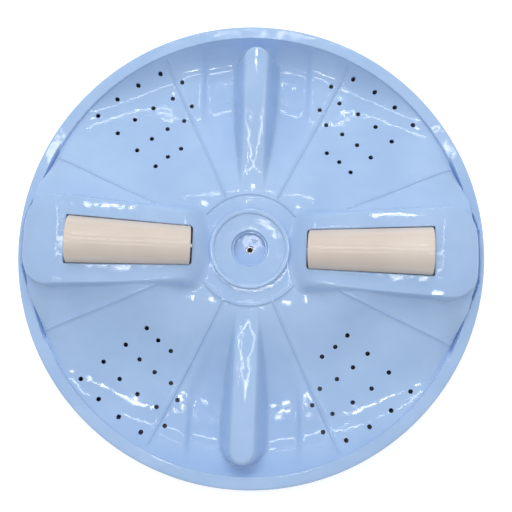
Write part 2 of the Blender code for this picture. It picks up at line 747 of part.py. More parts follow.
def add_underside(disc):
    """Webs, roller pockets and screw bosses under the deck, joined to it in groups that stand apart."""
    pockets = []
    blocks = []
    posts = []
    for side in (1, -1):
        pockets.append(wall_along("pocket", pocket_path(side), POCKET_WALL, SEAT_HEIGHT, middle_height, True))
        blocks += [axle_block(side, face, way) for face, way in axle_blocks()]
        posts += [post(x, y, SCREW_BOSS_RADIUS, SEAT_HEIGHT) for x, y in screw_places(side)]
    for name, group in (("pockets", pockets), ("axle_blocks", blocks), ("screw_bosses", posts)):
        cut(disc, joined(name, group), "UNION")
    reach = DISC_RADIUS - WALL / 2
    lines = [(math.pi / 2, VANE_END), (-math.pi / 2, VANE_END)]
    for angle in WEB_ANGLES:
        lines += [(mirrored_angle(angle, quadrant), reach) for quadrant in range(4)]
    webs = []
    for angle, end in lines:
        path = radial_path(angle, BOSS_RADIUS - BOSS_WALL / 2, end, WEB_STEPS)
        webs.append(wall_along("web", path, WEB_THICKNESS, WEB_BOTTOM, web_top))
    cut(disc, joined("webs", webs), "UNION")
    first = math.asin((pod_half_width(RING_WEB_RADIUS) + WEB_THICKNESS) / RING_WEB_RADIUS)
    arcs = []
    for quadrant in range(4):
        ends = [mirrored_angle(a, quadrant) for a in (first, WEB_ANGLES[-1])]
        path = arc_path(RING_WEB_RADIUS, ends[0], ends[1], WEB_STEPS)
        arcs.append(wall_along("ring_web", path, WEB_THICKNESS, WEB_BOTTOM, middle_height))
    cut(disc, joined("ring_webs", arcs), "UNION")


def web_top(x, y):
    """Webs run from inside the hub's boss to inside the skirt."""
    radius = math.hypot(x, y)
    if radius < RING_OUTER_RADIUS:
        return HUB_FACE - WALL / 2
    if radius > CREASE_RADIUS:
        return RIM_TOP - WALL / 2
    return middle_height(x, y)


def cut_windows(disc):
    """The tapered openings in the pods. The edges lie square to the roller's axis."""
    windows = []
    for side in (1, -1):
        place = roller_place(side)
        start = -END_GAP
        end = ROLLER_LENGTH + END_GAP
        low_half = window_half_width(start)
        high_half = window_half_width(end)
        corner = WINDOW_CORNER
        cut_in = WINDOW_CORNER * WINDOW_CORNER_ROUND
        half = [
            (start, low_half - corner),
            (start + cut_in, low_half - cut_in),
            (start + corner, low_half),
            (end, high_half),
        ]
        outline = half + [(s, -y) for s, y in reversed(half)]
        bottom = ROLLER_SINK - WINDOW_CUT_DEPTH
        top = ROLLER_SINK + ROLLER_OUTER_RADIUS
        low = [place @ Vector((bottom, y, s)) for s, y in outline]
        high = [place @ Vector((top, y, s)) for s, y in outline]
        windows.append(prism("window", low, high))
    cut(disc, joined("windows", windows))


def axle_slot(side, face, way):
    """A slot that opens downwards and ends in a half round over the axle. Its roof follows the tilt."""
    radius = AXLE_RADIUS + GAP
    turns = [math.pi * i / SLOT_STEPS for i in range(SLOT_STEPS + 1)]
    outline = [(radius * math.cos(t), radius * math.sin(t)) for t in turns]
    ends = []
    for x in (ROLLER_START if way < 0 else ROLLER_END, face + way * (AXLE_SEAT + GAP)):
        middle = axis_height(x)
        ring = [(side * x, -radius, SEAT_HEIGHT - WALL), (side * x, radius, SEAT_HEIGHT - WALL)]
        ring += [(side * x, y, middle + z) for y, z in outline]
        ends.append(ring)
    return prism("axle_slot", ends[0], ends[1])


def cut_axle_slots(disc):
    slots = [axle_slot(side, face, way) for side in (1, -1) for face, way in axle_blocks()]
    cut(disc, joined("axle_slots", slots))


def drain_hole_places():
    places = []
    for row, radius in enumerate(HOLE_ROWS):
        for column in range(INNER_ROW_COLUMNS if row == 0 else COLUMNS):
            places.append((radius, FIRST_COLUMN + column * COLUMN_PITCH))
    places += [(radius, EXTRA_HOLE_ANGLE) for radius in EXTRA_HOLE_RADII]
    return places


def upright_round(name, x, y, radius, low, high, sides):
    turns = [2 * math.pi * (j + 0.5) / sides for j in range(sides)]
    plan = [(x + radius * math.cos(t), y + radius * math.sin(t)) for t in turns]
    return prism(name, [(px, py, low) for px, py in plan], [(px, py, high) for px, py in plan])


def cut_drain_holes(disc):
    holes = []
    for quadrant in range(4):
        for radius, angle in drain_hole_places():
            turn = mirrored_angle(angle, quadrant)
            x = radius * math.cos(turn)
            y = radius * math.sin(turn)
            low = under_height(x, y) - WALL
            high = deck_height(x, y) + WALL
            holes.append(upright_round("drain_hole", x, y, HOLE_RADIUS, low, high, HOLE_SIDES))
    cut(disc, joined("drain_holes", holes))


def cut_pilot_holes(disc):
    holes = []
    for side in (1, -1):
        for x, y in screw_places(side):
            top = SEAT_HEIGHT + SCREW_SHANK_LENGTH
            radius = SCREW_SHANK_RADIUS + GAP
            holes.append(upright_round("pilot_hole", x, y, radius, SEAT_HEIGHT - WALL, top, HOLE_SIDES))
    cut(disc, joined("pilot_holes", holes))


# Hub insert


def gear_outline(teeth, root, tip, height):
    """Square teeth round a circle, as a flat outline."""
    rise = 0.5 - TOOTH_DUTY / 2 + TOOTH_FLANK_SHARE
    shares = ((TOOTH_FLANK_SHARE, root), (rise, tip), (1.0 - rise, tip), (1.0 - TOOTH_FLANK_SHARE, root))
    points = []
    for tooth in range(teeth):
        for share, radius in shares:
            turn = 2 * math.pi * (tooth + share) / teeth
            points.append((radius * math.cos(turn), radius * math.sin(turn), height))
    return points


def make_insert(material):
    top = SOCKET_TOP - GAP
    bottom = top - INSERT_HEIGHT
    blank = upright_round("spline_insert", 0.0, 0.0, INSERT_RADIUS, bottom, top, ROUND_SEGMENTS)
    insert = link_mesh("spline_insert", blank, material)
    socket_low = gear_outline(SPLINE_TEETH, SPLINE_ROOT_RADIUS, SPLINE_TIP_RADIUS, bottom - WALL)
    socket_high = [(x, y, top - INSERT_WEB) for x, y, _ in socket_low]
    cut(insert, prism("spline", socket_low, socket_high))
    cut(insert, upright_round("screw_way", 0.0, 0.0, INSERT_HOLE_RADIUS, bottom, top + WALL, BORE_SIDES))
    smooth(insert, math.radians(25))
    return insert


# Rollers


def make_roller(side, prefix, materials):
    empty = bpy.data.objects.new(prefix + "_roller_axis", None)
    bpy.context.scene.collection.objects.link(empty)
    empty.matrix_world = roller_place(side)
    bore = AXLE_RADIUS + GAP
    seat = ROLLER_OUTER_RADIUS - ROLLER_WALL
    inner_wall = ROLLER_INNER_RADIUS - ROLLER_WALL
    shell_profile = [
        (bore, 0.0),
        (ROLLER_INNER_RADIUS - ROLLER_ROUND, 0.0),
        (ROLLER_INNER_RADIUS, ROLLER_ROUND),
        (ROLLER_OUTER_RADIUS, ROLLER_LENGTH - ROLLER_ROUND),
        (ROLLER_OUTER_RADIUS - ROLLER_ROUND, ROLLER_LENGTH),
        (seat, ROLLER_LENGTH),
        (seat, ROLLER_LENGTH - PLUG_THICKNESS),
        (seat - ROLLER_WALL / 2, ROLLER_LENGTH - PLUG_THICKNESS),
        (inner_wall, INNER_END_WALL),
        (bore + ROLLER_WALL, INNER_END_WALL),
        (bore + ROLLER_WALL, INNER_END_WALL + SPIGOT_LENGTH),
        (bore, INNER_END_WALL + SPIGOT_LENGTH),
    ]
    shell_mesh = turned("shell", shell_profile, ROUND_SEGMENTS)
    shell = link_mesh(prefix + "_roller_shell", shell_mesh, materials["roller"])
    plug_radius = seat - GAP
    plug_bottom = ROLLER_LENGTH - PLUG_THICKNESS + GAP
    plug_profile = [
        (bore, plug_bottom - SPIGOT_LENGTH),
        (bore + ROLLER_WALL, plug_bottom - SPIGOT_LENGTH),
        (bore + ROLLER_WALL, plug_bottom),
        (plug_radius, plug_bottom),
        (plug_radius, ROLLER_LENGTH),
        (plug_radius - ROLLER_WALL, ROLLER_LENGTH),
        (plug_radius - ROLLER_WALL, ROLLER_LENGTH - ROLLER_WALL),
        (bore + ROLLER_WALL, ROLLER_LENGTH - ROLLER_WALL),
        (bore + ROLLER_WALL, ROLLER_LENGTH),
        (bore, ROLLER_LENGTH),
    ]
    plug_mesh = turned("plug", plug_profile, ROUND_SEGMENTS)
    plug = link_mesh(prefix + "_roller_plug", plug_mesh, materials["roller"])
    for piece in (shell, plug):
        piece.parent = empty
        smooth(piece)
    axle = make_axle(side, prefix, materials["steel"])
    return shell, plug, axle


def make_axle(side, prefix, material):
    bpy.ops.mesh.primitive_cylinder_add(vertices=AXLE_SIDES, radius=AXLE_RADIUS, depth=AXLE_LENGTH)
    axle = bpy.context.object
    axle.name = prefix + "_roller_axle"
    centre = ((POCKET_START + POCKET_END) / 2 - ROLLER_START) / math.cos(ROLLER_TILT)
    middle = Matrix.Translation((0.0, 0.0, centre))
    axle.matrix_world = roller_place(side) @ middle
    axle.data.materials.append(material)
    bevel = axle.modifiers.new("chamfer", "BEVEL")
    bevel.width = AXLE_CHAMFER
    bevel.segments = 1
    bevel.limit_method = "ANGLE"
    smooth(axle)
    return axle


# Covers under the rollers


def cover_outline(side, height):
    start = POCKET_START - AXLE_BLOCK - COVER_END_MARGIN
    end = POCKET_END + AXLE_BLOCK + COVER_END_MARGIN
    narrow = screw_offset(SCREW_STATIONS[0]) + SCREW_BOSS_RADIUS
    wide = screw_offset(SCREW_STATIONS[1]) + SCREW_BOSS_RADIUS
    corner = SCREW_BOSS_RADIUS
    half = [
        (start, narrow - corner * 2),
        (start + corner * 2, narrow),
        (SCREW_STATIONS[1], wide),
        (end - corner * 2, wide - corner),
        (end, wide - corner * 3),
    ]
    outline = half + [(x, -y) for x, y in reversed(half)]
    return [(side * x, side * y, height) for x, y in outline]


def make_cover(side, prefix, material):
    top = SEAT_HEIGHT - GAP
    bottom = top - COVER_THICKNESS
    mesh = prism("cover", cover_outline(side, bottom), cover_outline(side, top))
    cover = link_mesh(prefix + "_roller_cover", mesh, material)
    for face, way in axle_blocks():
        cut(cover, keeper(side, face, way, top - COVER_THICKNESS / 2), "UNION")
    radius = SCREW_SHANK_RADIUS + GAP
    holes = []
    for x, y in screw_places(side):
        holes.append(upright_round("screw_way", x, y, radius, bottom - WALL, top + WALL, HOLE_SIDES))
    cut(cover, joined("screw_ways", holes))
    cut(cover, joined("cover_slots", [drain_slot(side, i, bottom, top) for i in range(COVER_SLOTS)]))
    smooth(cover)
    return cover


def keeper(side, face, way, bottom):
    """The post that fills an axle slot from below and holds the axle up in it."""
    half = AXLE_RADIUS - GAP / 2
    ends = []
    for x in (face, face + way * (AXLE_SEAT - GAP)):
        top = axis_height(x) - AXLE_RADIUS / math.cos(ROLLER_TILT) - GAP
        outline = ((-half, bottom), (half, bottom), (half, top), (-half, top))
        ends.append([(side * x, y, z) for y, z in outline])
    return prism("keeper", ends[0], ends[1])


def drain_slot(side, index, bottom, top):
    """One of the water slots across a cover."""
    share = (index + 1) / (COVER_SLOTS + 1)
    x = side * mix(ROLLER_START, ROLLER_END, share)
    half = window_half_width(ROLLER_LENGTH * share) * COVER_SLOT_SHARE
    width = COVER_SLOT_WIDTH / 2
    plan = []
    for sign in (1, -1):
        for turn in (0, 60, 120, 180):
            angle = math.radians(turn) if sign > 0 else math.radians(turn + 180)
            plan.append((x + width * math.cos(angle), sign * half + width * math.sin(angle)))
    low = [(px, py, bottom - WALL) for px, py in plan]
    high = [(px, py, top + WALL) for px, py in plan]
    return prism("slot", low, high)


def make_screw(name, x, y, material):
    """A pan-head self-tapping screw, head down."""
    head_top = SEAT_HEIGHT - 2 * GAP - COVER_THICKNESS
    head_bottom = head_top - SCREW_HEAD_HEIGHT
    tip = head_top + COVER_THICKNESS + SCREW_SHANK_LENGTH - SCREW_TIP_CLEARANCE
    profile = [
        (SCREW_HEAD_RADIUS * SCREW_HEAD_FACE_SHARE, head_bottom),
        (SCREW_HEAD_RADIUS, head_bottom + SCREW_HEAD_HEIGHT * SCREW_HEAD_RIM_SHARE),
        (SCREW_HEAD_RADIUS, head_top),
        (SCREW_SHANK_RADIUS, head_top),
        (SCREW_SHANK_RADIUS, tip - SCREW_SHANK_RADIUS * 2),
        (SCREW_SHANK_RADIUS * SCREW_TIP_SHARE, tip),
    ]
    rings = []
    for radius, height in profile:
        turns = [2 * math.pi * j / SCREW_SIDES for j in range(SCREW_SIDES)]
        rings.append([(x + radius * math.cos(t), y + radius * math.sin(t), height) for t in turns])
    screw = link_mesh(name, ring_grid(name, rings, close_rings=False, close_ends=True), material)
    smooth(screw)
    return screw


def main():
    clear_scene()
    materials = {
        "disc": make_material("light blue polypropylene", (0.42, 0.57, 0.83), 0.25),
        "roller": make_material("cream polypropylene", (0.72, 0.65, 0.59), 0.35),
        "cover": make_material("white polypropylene", (0.80, 0.82, 0.85), 0.40),
        "steel": make_material("stainless steel", (0.60, 0.60, 0.60), 0.30, 1.0),
    }
    make_disc(materials["disc"])
    make_insert(materials["steel"])
    for side, prefix in ((-1, "left"), (1, "right")):
        make_roller(side, prefix, materials)
        make_cover(side, prefix, materials["cover"])
        for number, (x, y) in enumerate(screw_places(side), start=1):
            make_screw(f"{prefix}_cover_screw_{number}", x, y, materials["steel"])


main()
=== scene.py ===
# %% [markdown]
# # Washing machine pulsator
#
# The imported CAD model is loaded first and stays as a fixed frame. Each piece below is then built round it
# at its real size, in metres, and rides on one of its three bodies: the disc and the two rollers that turn
# in it.

# %% Load the frame
import math
from math import cos, pi, radians, sin

import bmesh
import bpy
import numpy as np
from mathutils import Matrix, Vector
from mathutils.geometry import delaunay_2d_cdt


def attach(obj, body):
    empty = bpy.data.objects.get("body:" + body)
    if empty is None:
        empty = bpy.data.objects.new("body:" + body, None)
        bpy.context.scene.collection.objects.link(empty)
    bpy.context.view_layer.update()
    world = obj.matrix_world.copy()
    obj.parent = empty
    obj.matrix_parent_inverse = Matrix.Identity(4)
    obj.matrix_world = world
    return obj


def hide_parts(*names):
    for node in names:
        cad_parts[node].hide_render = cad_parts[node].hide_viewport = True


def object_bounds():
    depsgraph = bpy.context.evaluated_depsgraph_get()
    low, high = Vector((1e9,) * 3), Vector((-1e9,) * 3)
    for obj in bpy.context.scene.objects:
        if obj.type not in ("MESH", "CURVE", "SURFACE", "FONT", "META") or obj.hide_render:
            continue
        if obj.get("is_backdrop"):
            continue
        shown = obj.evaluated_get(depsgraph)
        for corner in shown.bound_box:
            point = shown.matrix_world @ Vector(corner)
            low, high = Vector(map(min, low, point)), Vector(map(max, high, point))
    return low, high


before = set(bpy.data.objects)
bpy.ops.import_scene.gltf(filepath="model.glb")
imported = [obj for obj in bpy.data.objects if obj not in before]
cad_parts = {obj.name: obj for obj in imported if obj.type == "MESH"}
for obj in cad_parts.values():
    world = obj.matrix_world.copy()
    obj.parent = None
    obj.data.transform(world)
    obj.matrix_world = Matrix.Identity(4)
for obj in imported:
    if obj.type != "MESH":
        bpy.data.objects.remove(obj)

cad_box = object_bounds()

# %% [markdown]
# ## Sizes
#
# The sizes start from those of the CAD source, so that every new piece lands where its solid is. The pods'
# noses and tips, the vanes and the turn at the lip follow the photograph closer than the solids do. Heights
# count from the lower edge of the skirt. The height of the rim is one value, and everything above it moves
# with it.

# %% Sizes of the disc
DISC_RADIUS = 0.190
RIM_TOP = 0.028
WALL = 0.0026
CREASE_RADIUS = 0.1788
LIP_STEP = 0.0026
LIP_STEP_RUN = 0.0012
EDGE_ROUND = 0.0022
LIP_TOP_OUTER = DISC_RADIUS - EDGE_ROUND
RING_INNER_RADIUS = 0.0288
RING_OUTER_RADIUS = 0.0328
RING_RISE = 0.0016
HUB_FACE = RIM_TOP + 0.0042
ROLLER_START = 0.0476
ROLLER_LENGTH = 0.0955
ROLLER_INNER_RADIUS = 0.0158
ROLLER_OUTER_RADIUS = 0.0189
ROLLER_SINK = 0.0048
ROLLER_TILT = radians(9.0)
CREST_START = RIM_TOP + 0.0135
print("rim top", RIM_TOP, "crest start", round(CREST_START, 4))

# %% [markdown]
# ## Camera
#
# The photograph was taken from above, a little towards the lower vane. The lens, place and turn were fitted
# to the rim's outline and to the drain holes, which repeat in all four quarters of the disc.

# %% Camera
PHOTO_PIXELS = 512
FOCAL_PIXELS = 620.1
SENSOR_WIDTH = 36.0
CAMERA_PLACE = (0.0155, -0.0608, RIM_TOP + 0.500)
CAMERA_TURNS = (("Z", -0.0363), ("X", -0.1101), ("Y", -0.0204))


def new_object(name, data):
    """An object that is linked to the scene."""
    item = bpy.data.objects.new(name, data)
    bpy.context.scene.collection.objects.link(item)
    return item


camera_data = bpy.data.cameras.new("photo_camera")
camera_data.sensor_width = SENSOR_WIDTH
camera_data.lens = SENSOR_WIDTH * FOCAL_PIXELS / PHOTO_PIXELS
camera_data.clip_start = 0.01
camera = new_object("photo_camera", camera_data)
look = Matrix.Identity(3)
for axis, angle in CAMERA_TURNS:
    look = look @ Matrix.Rotation(angle, 3, axis)
camera.matrix_world = Matrix.Translation(CAMERA_PLACE) @ look.transposed().to_4x4()
bpy.context.scene.camera = camera
print("camera at", [round(v, 4) for v in camera.matrix_world.translation], "lens", round(camera_data.lens, 2))

# %% [markdown]
# ## Colour and nodes
#
# Colours are written as the hex values a picture program shows, and one function turns them into the linear
# values that Blender's shaders use. A second small function adds a node with its settings and links.

# %% Colour and node helpers


def linear(hex_colour):
    """An sRGB hex colour as a linear RGBA value."""
    channels = [int(hex_colour[i:i + 2], 16) / 255 for i in (0, 2, 4)]
    return (*[c / 12.92 if c <= 0.04045 else ((c + 0.055) / 1.055) ** 2.4 for c in channels], 1.0)


def add_node(tree, kind, settings=None, links=None):
    """A node of one kind, with settings for its properties or sockets and links into its sockets."""
    node = tree.nodes.new(kind)
    for key, value in (settings or {}).items():
        if isinstance(key, int) or key in node.inputs:
            node.inputs[key].default_value = value
        else:
            setattr(node, key, value)
    for key, source in (links or {}).items():
        tree.links.new(source, node.inputs[key])
    return node


def new_material(name):
    """A material with only its Principled shader and its output."""
    material = bpy.data.materials.new(name)
    material.use_nodes = True
    return material, material.node_tree, material.node_tree.nodes["Principled BSDF"]


def deselect_all():
    if bpy.context.object and bpy.context.object.mode != "OBJECT":
        bpy.ops.object.mode_set(mode="OBJECT")
    bpy.ops.object.select_all(action="DESELECT")


print("pale blue in linear light", [round(v, 3) for v in linear("A9C4EA")])

# %% [markdown]
# ## Floor and light
#
# The object lies on a plain white table. Round the disc the floor glows white for the camera and for
# reflections only, so no extra light falls on the object, and the table keeps a soft contact shadow. Under
# the disc it has no glow, so the drain holes look dark.

# %% Floor
FLOOR_GLOW = 0.42

floor_material, tree, shader = new_material("white_table")
shader.inputs["Base Color"].default_value = linear("F2F2F2")
shader.inputs["Roughness"].default_value = 0.9
path = add_node(tree, "ShaderNodeLightPath")
seen = path.outputs["Is Camera Ray"]
for ray in ("Is Glossy Ray", "Is Transmission Ray"):
    total = add_node(tree, "ShaderNodeMath", {"operation": "ADD", "use_clamp": True},
                     {0: seen, 1: path.outputs[ray]})
    seen = total.outputs[0]
place = add_node(tree, "ShaderNodeTexCoord").outputs["Object"]
away = add_node(tree, "ShaderNodeVectorMath", {"operation": "LENGTH"}, {0: place})
beside = add_node(tree, "ShaderNodeMath", {"operation": "GREATER_THAN", 1: DISC_RADIUS},
                  {0: away.outputs["Value"]})
glow = add_node(tree, "ShaderNodeMath", {"operation": "MULTIPLY", 1: FLOOR_GLOW}, {0: seen})
glow = add_node(tree, "ShaderNodeMath", {"operation": "MULTIPLY"}, {0: glow.outputs[0], 1: beside.outputs[0]})
shader.inputs["Emission Color"].default_value = (1, 1, 1, 1)
tree.links.new(glow.outputs[0], shader.inputs["Emission Strength"])
deselect_all()
bpy.ops.mesh.primitive_plane_add(size=6.0, location=(0, 0, -0.0002))
floor = bpy.context.object
floor.name = "white_floor"
floor.data.materials.append(floor_material)
floor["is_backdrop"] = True

# %% World and lamps
ROOM_LIGHT = 0.59

world = bpy.data.worlds.new("soft_room")
world.use_nodes = True
bpy.context.scene.world = world
tree = world.node_tree
background = tree.nodes["Background"]
path = add_node(tree, "ShaderNodeLightPath")
background.inputs["Color"].default_value = (1, 1, 1, 1)
strength = add_node(tree, "ShaderNodeMapRange", {"To Min": ROOM_LIGHT, "To Max": 1.0},
                    {"Value": path.outputs["Is Camera Ray"]})
tree.links.new(strength.outputs["Result"], background.inputs["Strength"])


def area_lamp(name, power, size, place, mirrored=True):
    """A rectangular lamp that faces the hub. One that isn't mirrored lights the object but shows no glint."""
    data = bpy.data.lights.new(name, "AREA")
    data.energy = power
    data.shape = "RECTANGLE"
    data.size, data.size_y = size
    lamp = new_object(name, data)
    away = Vector(place) - Vector((0.0, 0.0, RIM_TOP))
    lamp.matrix_world = Matrix.Translation(place) @ away.to_track_quat("Z", "Y").to_matrix().to_4x4()
    lamp.visible_glossy = mirrored


# The soft light comes from the top of the picture. The other lamps give the glints: two long tubes left and
# right of the disc draw the twin lines on the vanes, a short one draws the line on the left roller, one
# further back draws wavy lines on the panels, and three small lamps make the bright patches on them. The
# flat hub mirrors hardly anything of them.
area_lamp("soft_window_light", 11.0, (1.2, 0.8), (-0.15, 1.5, 1.3), mirrored=False)
area_lamp("left_tube", 1.5, (0.045, 0.9), (-0.36, 0.25, 1.5))
area_lamp("right_tube", 1.5, (0.045, 0.9), (0.27, 0.25, 1.5))
area_lamp("upper_lamp", 0.60, (0.11, 0.08), (-0.045, 0.62, 1.5))
area_lamp("lower_left_lamp", 0.55, (0.10, 0.08), (-0.264, -0.385, 1.5))
area_lamp("lower_right_lamp", 0.55, (0.10, 0.08), (0.13, -0.40, 1.5))
area_lamp("roller_tube", 0.35, (0.36, 0.012), (-0.30, 0.185, 1.5))
area_lamp("back_tube", 1.0, (0.9, 0.018), (0.02, 0.92, 1.45))
bpy.context.scene.view_settings.view_transform = "Standard"

# %% [markdown]
# ## The form of the disc
#
# The disc is one thin injection moulding. Seen from above it has a single height at every point, so its
# form can be written as a function of the plan, as a designer would stack features: a dished basin, a fan
# of ground that climbs to each pod, a trough beside each vane, then the pods, the vanes and the thin ribs.
# Two blends join the features with a fillet: one keeps the lower of two surfaces and one keeps the higher.

# %% Blends


def mix(first, second, share):
    return first + (second - first) * share


def ramp(value, start, end):
    """0 up to the start, 1 from the end on, and a soft climb between them."""
    share = np.clip((value - start) / (end - start), 0.0, 1.0)
    return share * share * (3.0 - 2.0 * share)


def lower_of(first, second, blend):
    """The lower of two surfaces, with a fillet where they cross."""
    near = np.maximum(blend - np.abs(first - second), 0.0) / blend
    return np.minimum(first, second) - near * near * blend / 4


def higher_of(first, second, blend):
    return -lower_of(-first, -second, blend)


def edge_drop(distance, radius):
    """How far a quarter round falls at a distance from its edge."""
    inside = np.clip(1.0 - distance / radius, 0.0, 1.0)
    return radius * (1.0 - np.sqrt(1.0 - inside * inside))


def box_distance(beside, beyond, corner):
    """How far a point lies outside a box with round corners, from its distances past two of the sides."""
    beside, beyond = beside + corner, beyond + corner
    outside = np.hypot(np.maximum(beside, 0), np.maximum(beyond, 0))
    return outside + np.minimum(np.maximum(beside, beyond), 0) - corner


# %% Points on lines and arcs


def polar(radius, turn, centre=(0.0, 0.0)):
    return (centre[0] + radius * cos(turn), centre[1] + radius * sin(turn))


def line_points(start, end, steps):
    return [(mix(start[0], end[0], i / steps), mix(start[1], end[1], i / steps)) for i in range(steps + 1)]


def arc_points(radius, start, end, steps, centre=(0.0, 0.0)):
    """Points along an arc between two turns, given in degrees."""
    return [polar(radius, radians(mix(start, end, i / steps)), centre) for i in range(steps + 1)]


def circle_points(radius, sides, centre=(0.0, 0.0)):
    return [polar(radius, 2 * pi * i / sides, centre) for i in range(sides)]


# %% Ground between hub and lip
SHOULDER_HEIGHT = RIM_TOP + 0.0022
PANEL_DEPTH = 0.0178
DEEPEST_RADIUS = 0.132
RIM_POWER = 5.0
RIM_FOOT = RIM_TOP - LIP_STEP
APRON_WALL_RUN = 0.0026
APRON_WALL_SLOPE = 6.0
APRON_WALL_BLEND = 0.0035
APRON_FALL = 0.0065
APRON_FALL_START = 0.145
APRON_TURN = radians(10)
FAN_FOOT_ANGLE = radians(66.0)
SHALLOW_RIB_ANGLE = radians(23.8)
FAN_RISE = 0.0245
FAN_POWER = 1.5
FAN_LIMIT = 1.28
FAN_START_RADIUS = 0.038
FAN_FULL_RADIUS = 0.100
TROUGH_DEPTH = 0.0030
TROUGH_SIDE = (0.0425, 0.0485)
TROUGH_START = (0.055, 0.115)
TROUGH_TURN = (FAN_FOOT_ANGLE, FAN_FOOT_ANGLE + radians(7))


def ground_height(x, y):
    """The basin, the fan up to the pods and the trough beside the vane, turned up again at the lip."""
    radius, angle = np.hypot(x, y), np.arctan2(y, x)
    ground = mix(SHOULDER_HEIGHT, RIM_TOP - PANEL_DEPTH, ramp(radius, RING_OUTER_RADIUS, DEEPEST_RADIUS))
    turn = np.clip((FAN_FOOT_ANGLE - angle) / (FAN_FOOT_ANGLE - SHALLOW_RIB_ANGLE), 0.0, FAN_LIMIT)
    ground = ground + FAN_RISE * turn ** FAN_POWER * ramp(radius, FAN_START_RADIUS, FAN_FULL_RADIUS)
    trough = (1.0 - ramp(x, *TROUGH_SIDE)) * ramp(y, *TROUGH_START) * ramp(angle, *TROUGH_TURN)
    ground = ground - TROUGH_DEPTH * trough
    out = np.clip((radius - DEEPEST_RADIUS) / (CREASE_RADIUS - DEEPEST_RADIUS), 0.0, 1.0)
    turned_up = mix(ground, RIM_FOOT, out ** RIM_POWER)
    wall = RIM_FOOT + (CREASE_RADIUS + APRON_WALL_RUN - radius) * APRON_WALL_SLOPE
    near_pod = 1.0 - ramp(angle, SHALLOW_RIB_ANGLE - APRON_TURN, SHALLOW_RIB_ANGLE)
    ground = ground - APRON_FALL * ramp(radius, APRON_FALL_START, CREASE_RADIUS)
    return mix(turned_up, lower_of(ground, wall, APRON_WALL_BLEND), near_pod)


# %% Lip
CHANNEL_NOSE_RADIUS = 0.1862
CHANNEL_NOSE_ANGLE = radians(4.0)
CHANNEL_BOW = radians(14.0)
CHANNEL_HALF = 0.0011
CHANNEL_DEPTH = 0.0060


def lip_channel(x, y):
    """A narrow channel in the lip that bows out round each pod's nose. It shows as the dark line there."""
    angle = np.arctan2(y, x)
    bow = ramp(angle, CHANNEL_NOSE_ANGLE, CHANNEL_NOSE_ANGLE + CHANNEL_BOW)
    middle = mix(CHANNEL_NOSE_RADIUS, CREASE_RADIUS + CHANNEL_HALF, bow)
    beside_pod = 1.0 - ramp(angle, SHALLOW_RIB_ANGLE, SHALLOW_RIB_ANGLE + CHANNEL_NOSE_ANGLE)
    return CHANNEL_DEPTH * beside_pod * (1.0 - ramp(np.abs(np.hypot(x, y) - middle), 0.0, CHANNEL_HALF))


def lip_height(radius):
    """The step up at the crease, the flat band and its rounded outer edge."""
    height = RIM_TOP - LIP_STEP * (1.0 - ramp(radius, CREASE_RADIUS, CREASE_RADIUS + LIP_STEP_RUN))
    return height - edge_drop(DISC_RADIUS - radius, EDGE_ROUND)


# %% Pods
POD_HALF_AT_START = 0.0287
POD_SPREAD = 0.0584
POD_NOSE_RADIUS = 0.1780
POD_NOSE_START = 0.149
POD_NOSE_DROP = 0.0180
POD_CORNER = 0.021
POD_FLANK = 5.0
POD_FLANK_EASE = 0.55
POD_CROWN = 0.0010
POD_CROWN_HALF = 0.030
POD_TOP_BLEND = 0.0050
POD_TIP = 0.0334
POD_TIP_BULGE = 6.8
POD_TIP_SLOPE = 1.10
POD_TIP_BLEND = 0.0070
NEAR_HUB = (0.046, 0.106)


def near_hub(x):
    """1 at the pod's tip beside the hub, 0 beyond the middle of the roller."""
    return 1.0 - ramp(x, *NEAR_HUB)


def crest_height(x):
    climb = np.minimum(x, POD_NOSE_START) - ROLLER_START
    dip = np.maximum(0.0, x - POD_NOSE_START) / (DISC_RADIUS - POD_NOSE_START)
    return CREST_START + climb * math.tan(ROLLER_TILT) - POD_NOSE_DROP * dip * dip


def pod_half_width(x):
    return POD_HALF_AT_START + POD_SPREAD * (x - ROLLER_START)


def pod_distance(x, y):
    """How far a point lies outside the pod's outline, which is a box with a round nose."""
    return box_distance(y - pod_half_width(x), np.hypot(x, y) - POD_NOSE_RADIUS, POD_CORNER)


def pod_height(x, y):
    """A crowned top with steep flanks that grow softer towards the hub, and a rounded tip beside it."""
    crest = crest_height(x)
    crowned = crest - POD_CROWN * np.clip(y / POD_CROWN_HALF, 0.0, 1.2) ** 4
    flank = crest - pod_distance(x, y) * POD_FLANK * (1.0 - POD_FLANK_EASE * near_hub(x))
    top = lower_of(crowned, flank, POD_TOP_BLEND * (1.0 + near_hub(x)))
    tip = SHOULDER_HEIGHT + (x - POD_TIP - POD_TIP_BULGE * y * y) * POD_TIP_SLOPE
    return lower_of(top, tip, POD_TIP_BLEND)


# %% Vanes
VANE_START = 0.052
VANE_END = 0.1580
VANE_TOP_HALF = 0.0100
VANE_FLANK = 3.4
VANE_START_HEIGHT = RIM_TOP + 0.0030
VANE_END_HEIGHT = RIM_TOP + 0.0100
VANE_START_DIP = 0.0040
VANE_CROWN = 10.0
VANE_TOP_BLEND = 0.0080


def vane_height(x, y):
    """A thumb-like ridge that rises out of the ground near the hub and ends in a dome near the lip."""
    share = (y - VANE_START) / (VANE_END - VANE_START)
    crest = mix(VANE_START_HEIGHT, VANE_END_HEIGHT, share)
    crest = crest - VANE_START_DIP * np.maximum(1.0 - share, 0.0) ** 3
    flank = crest - (np.hypot(x, np.maximum(y - VANE_END, 0)) - VANE_TOP_HALF) * VANE_FLANK
    return lower_of(crest - VANE_CROWN * x * x, flank, VANE_TOP_BLEND)


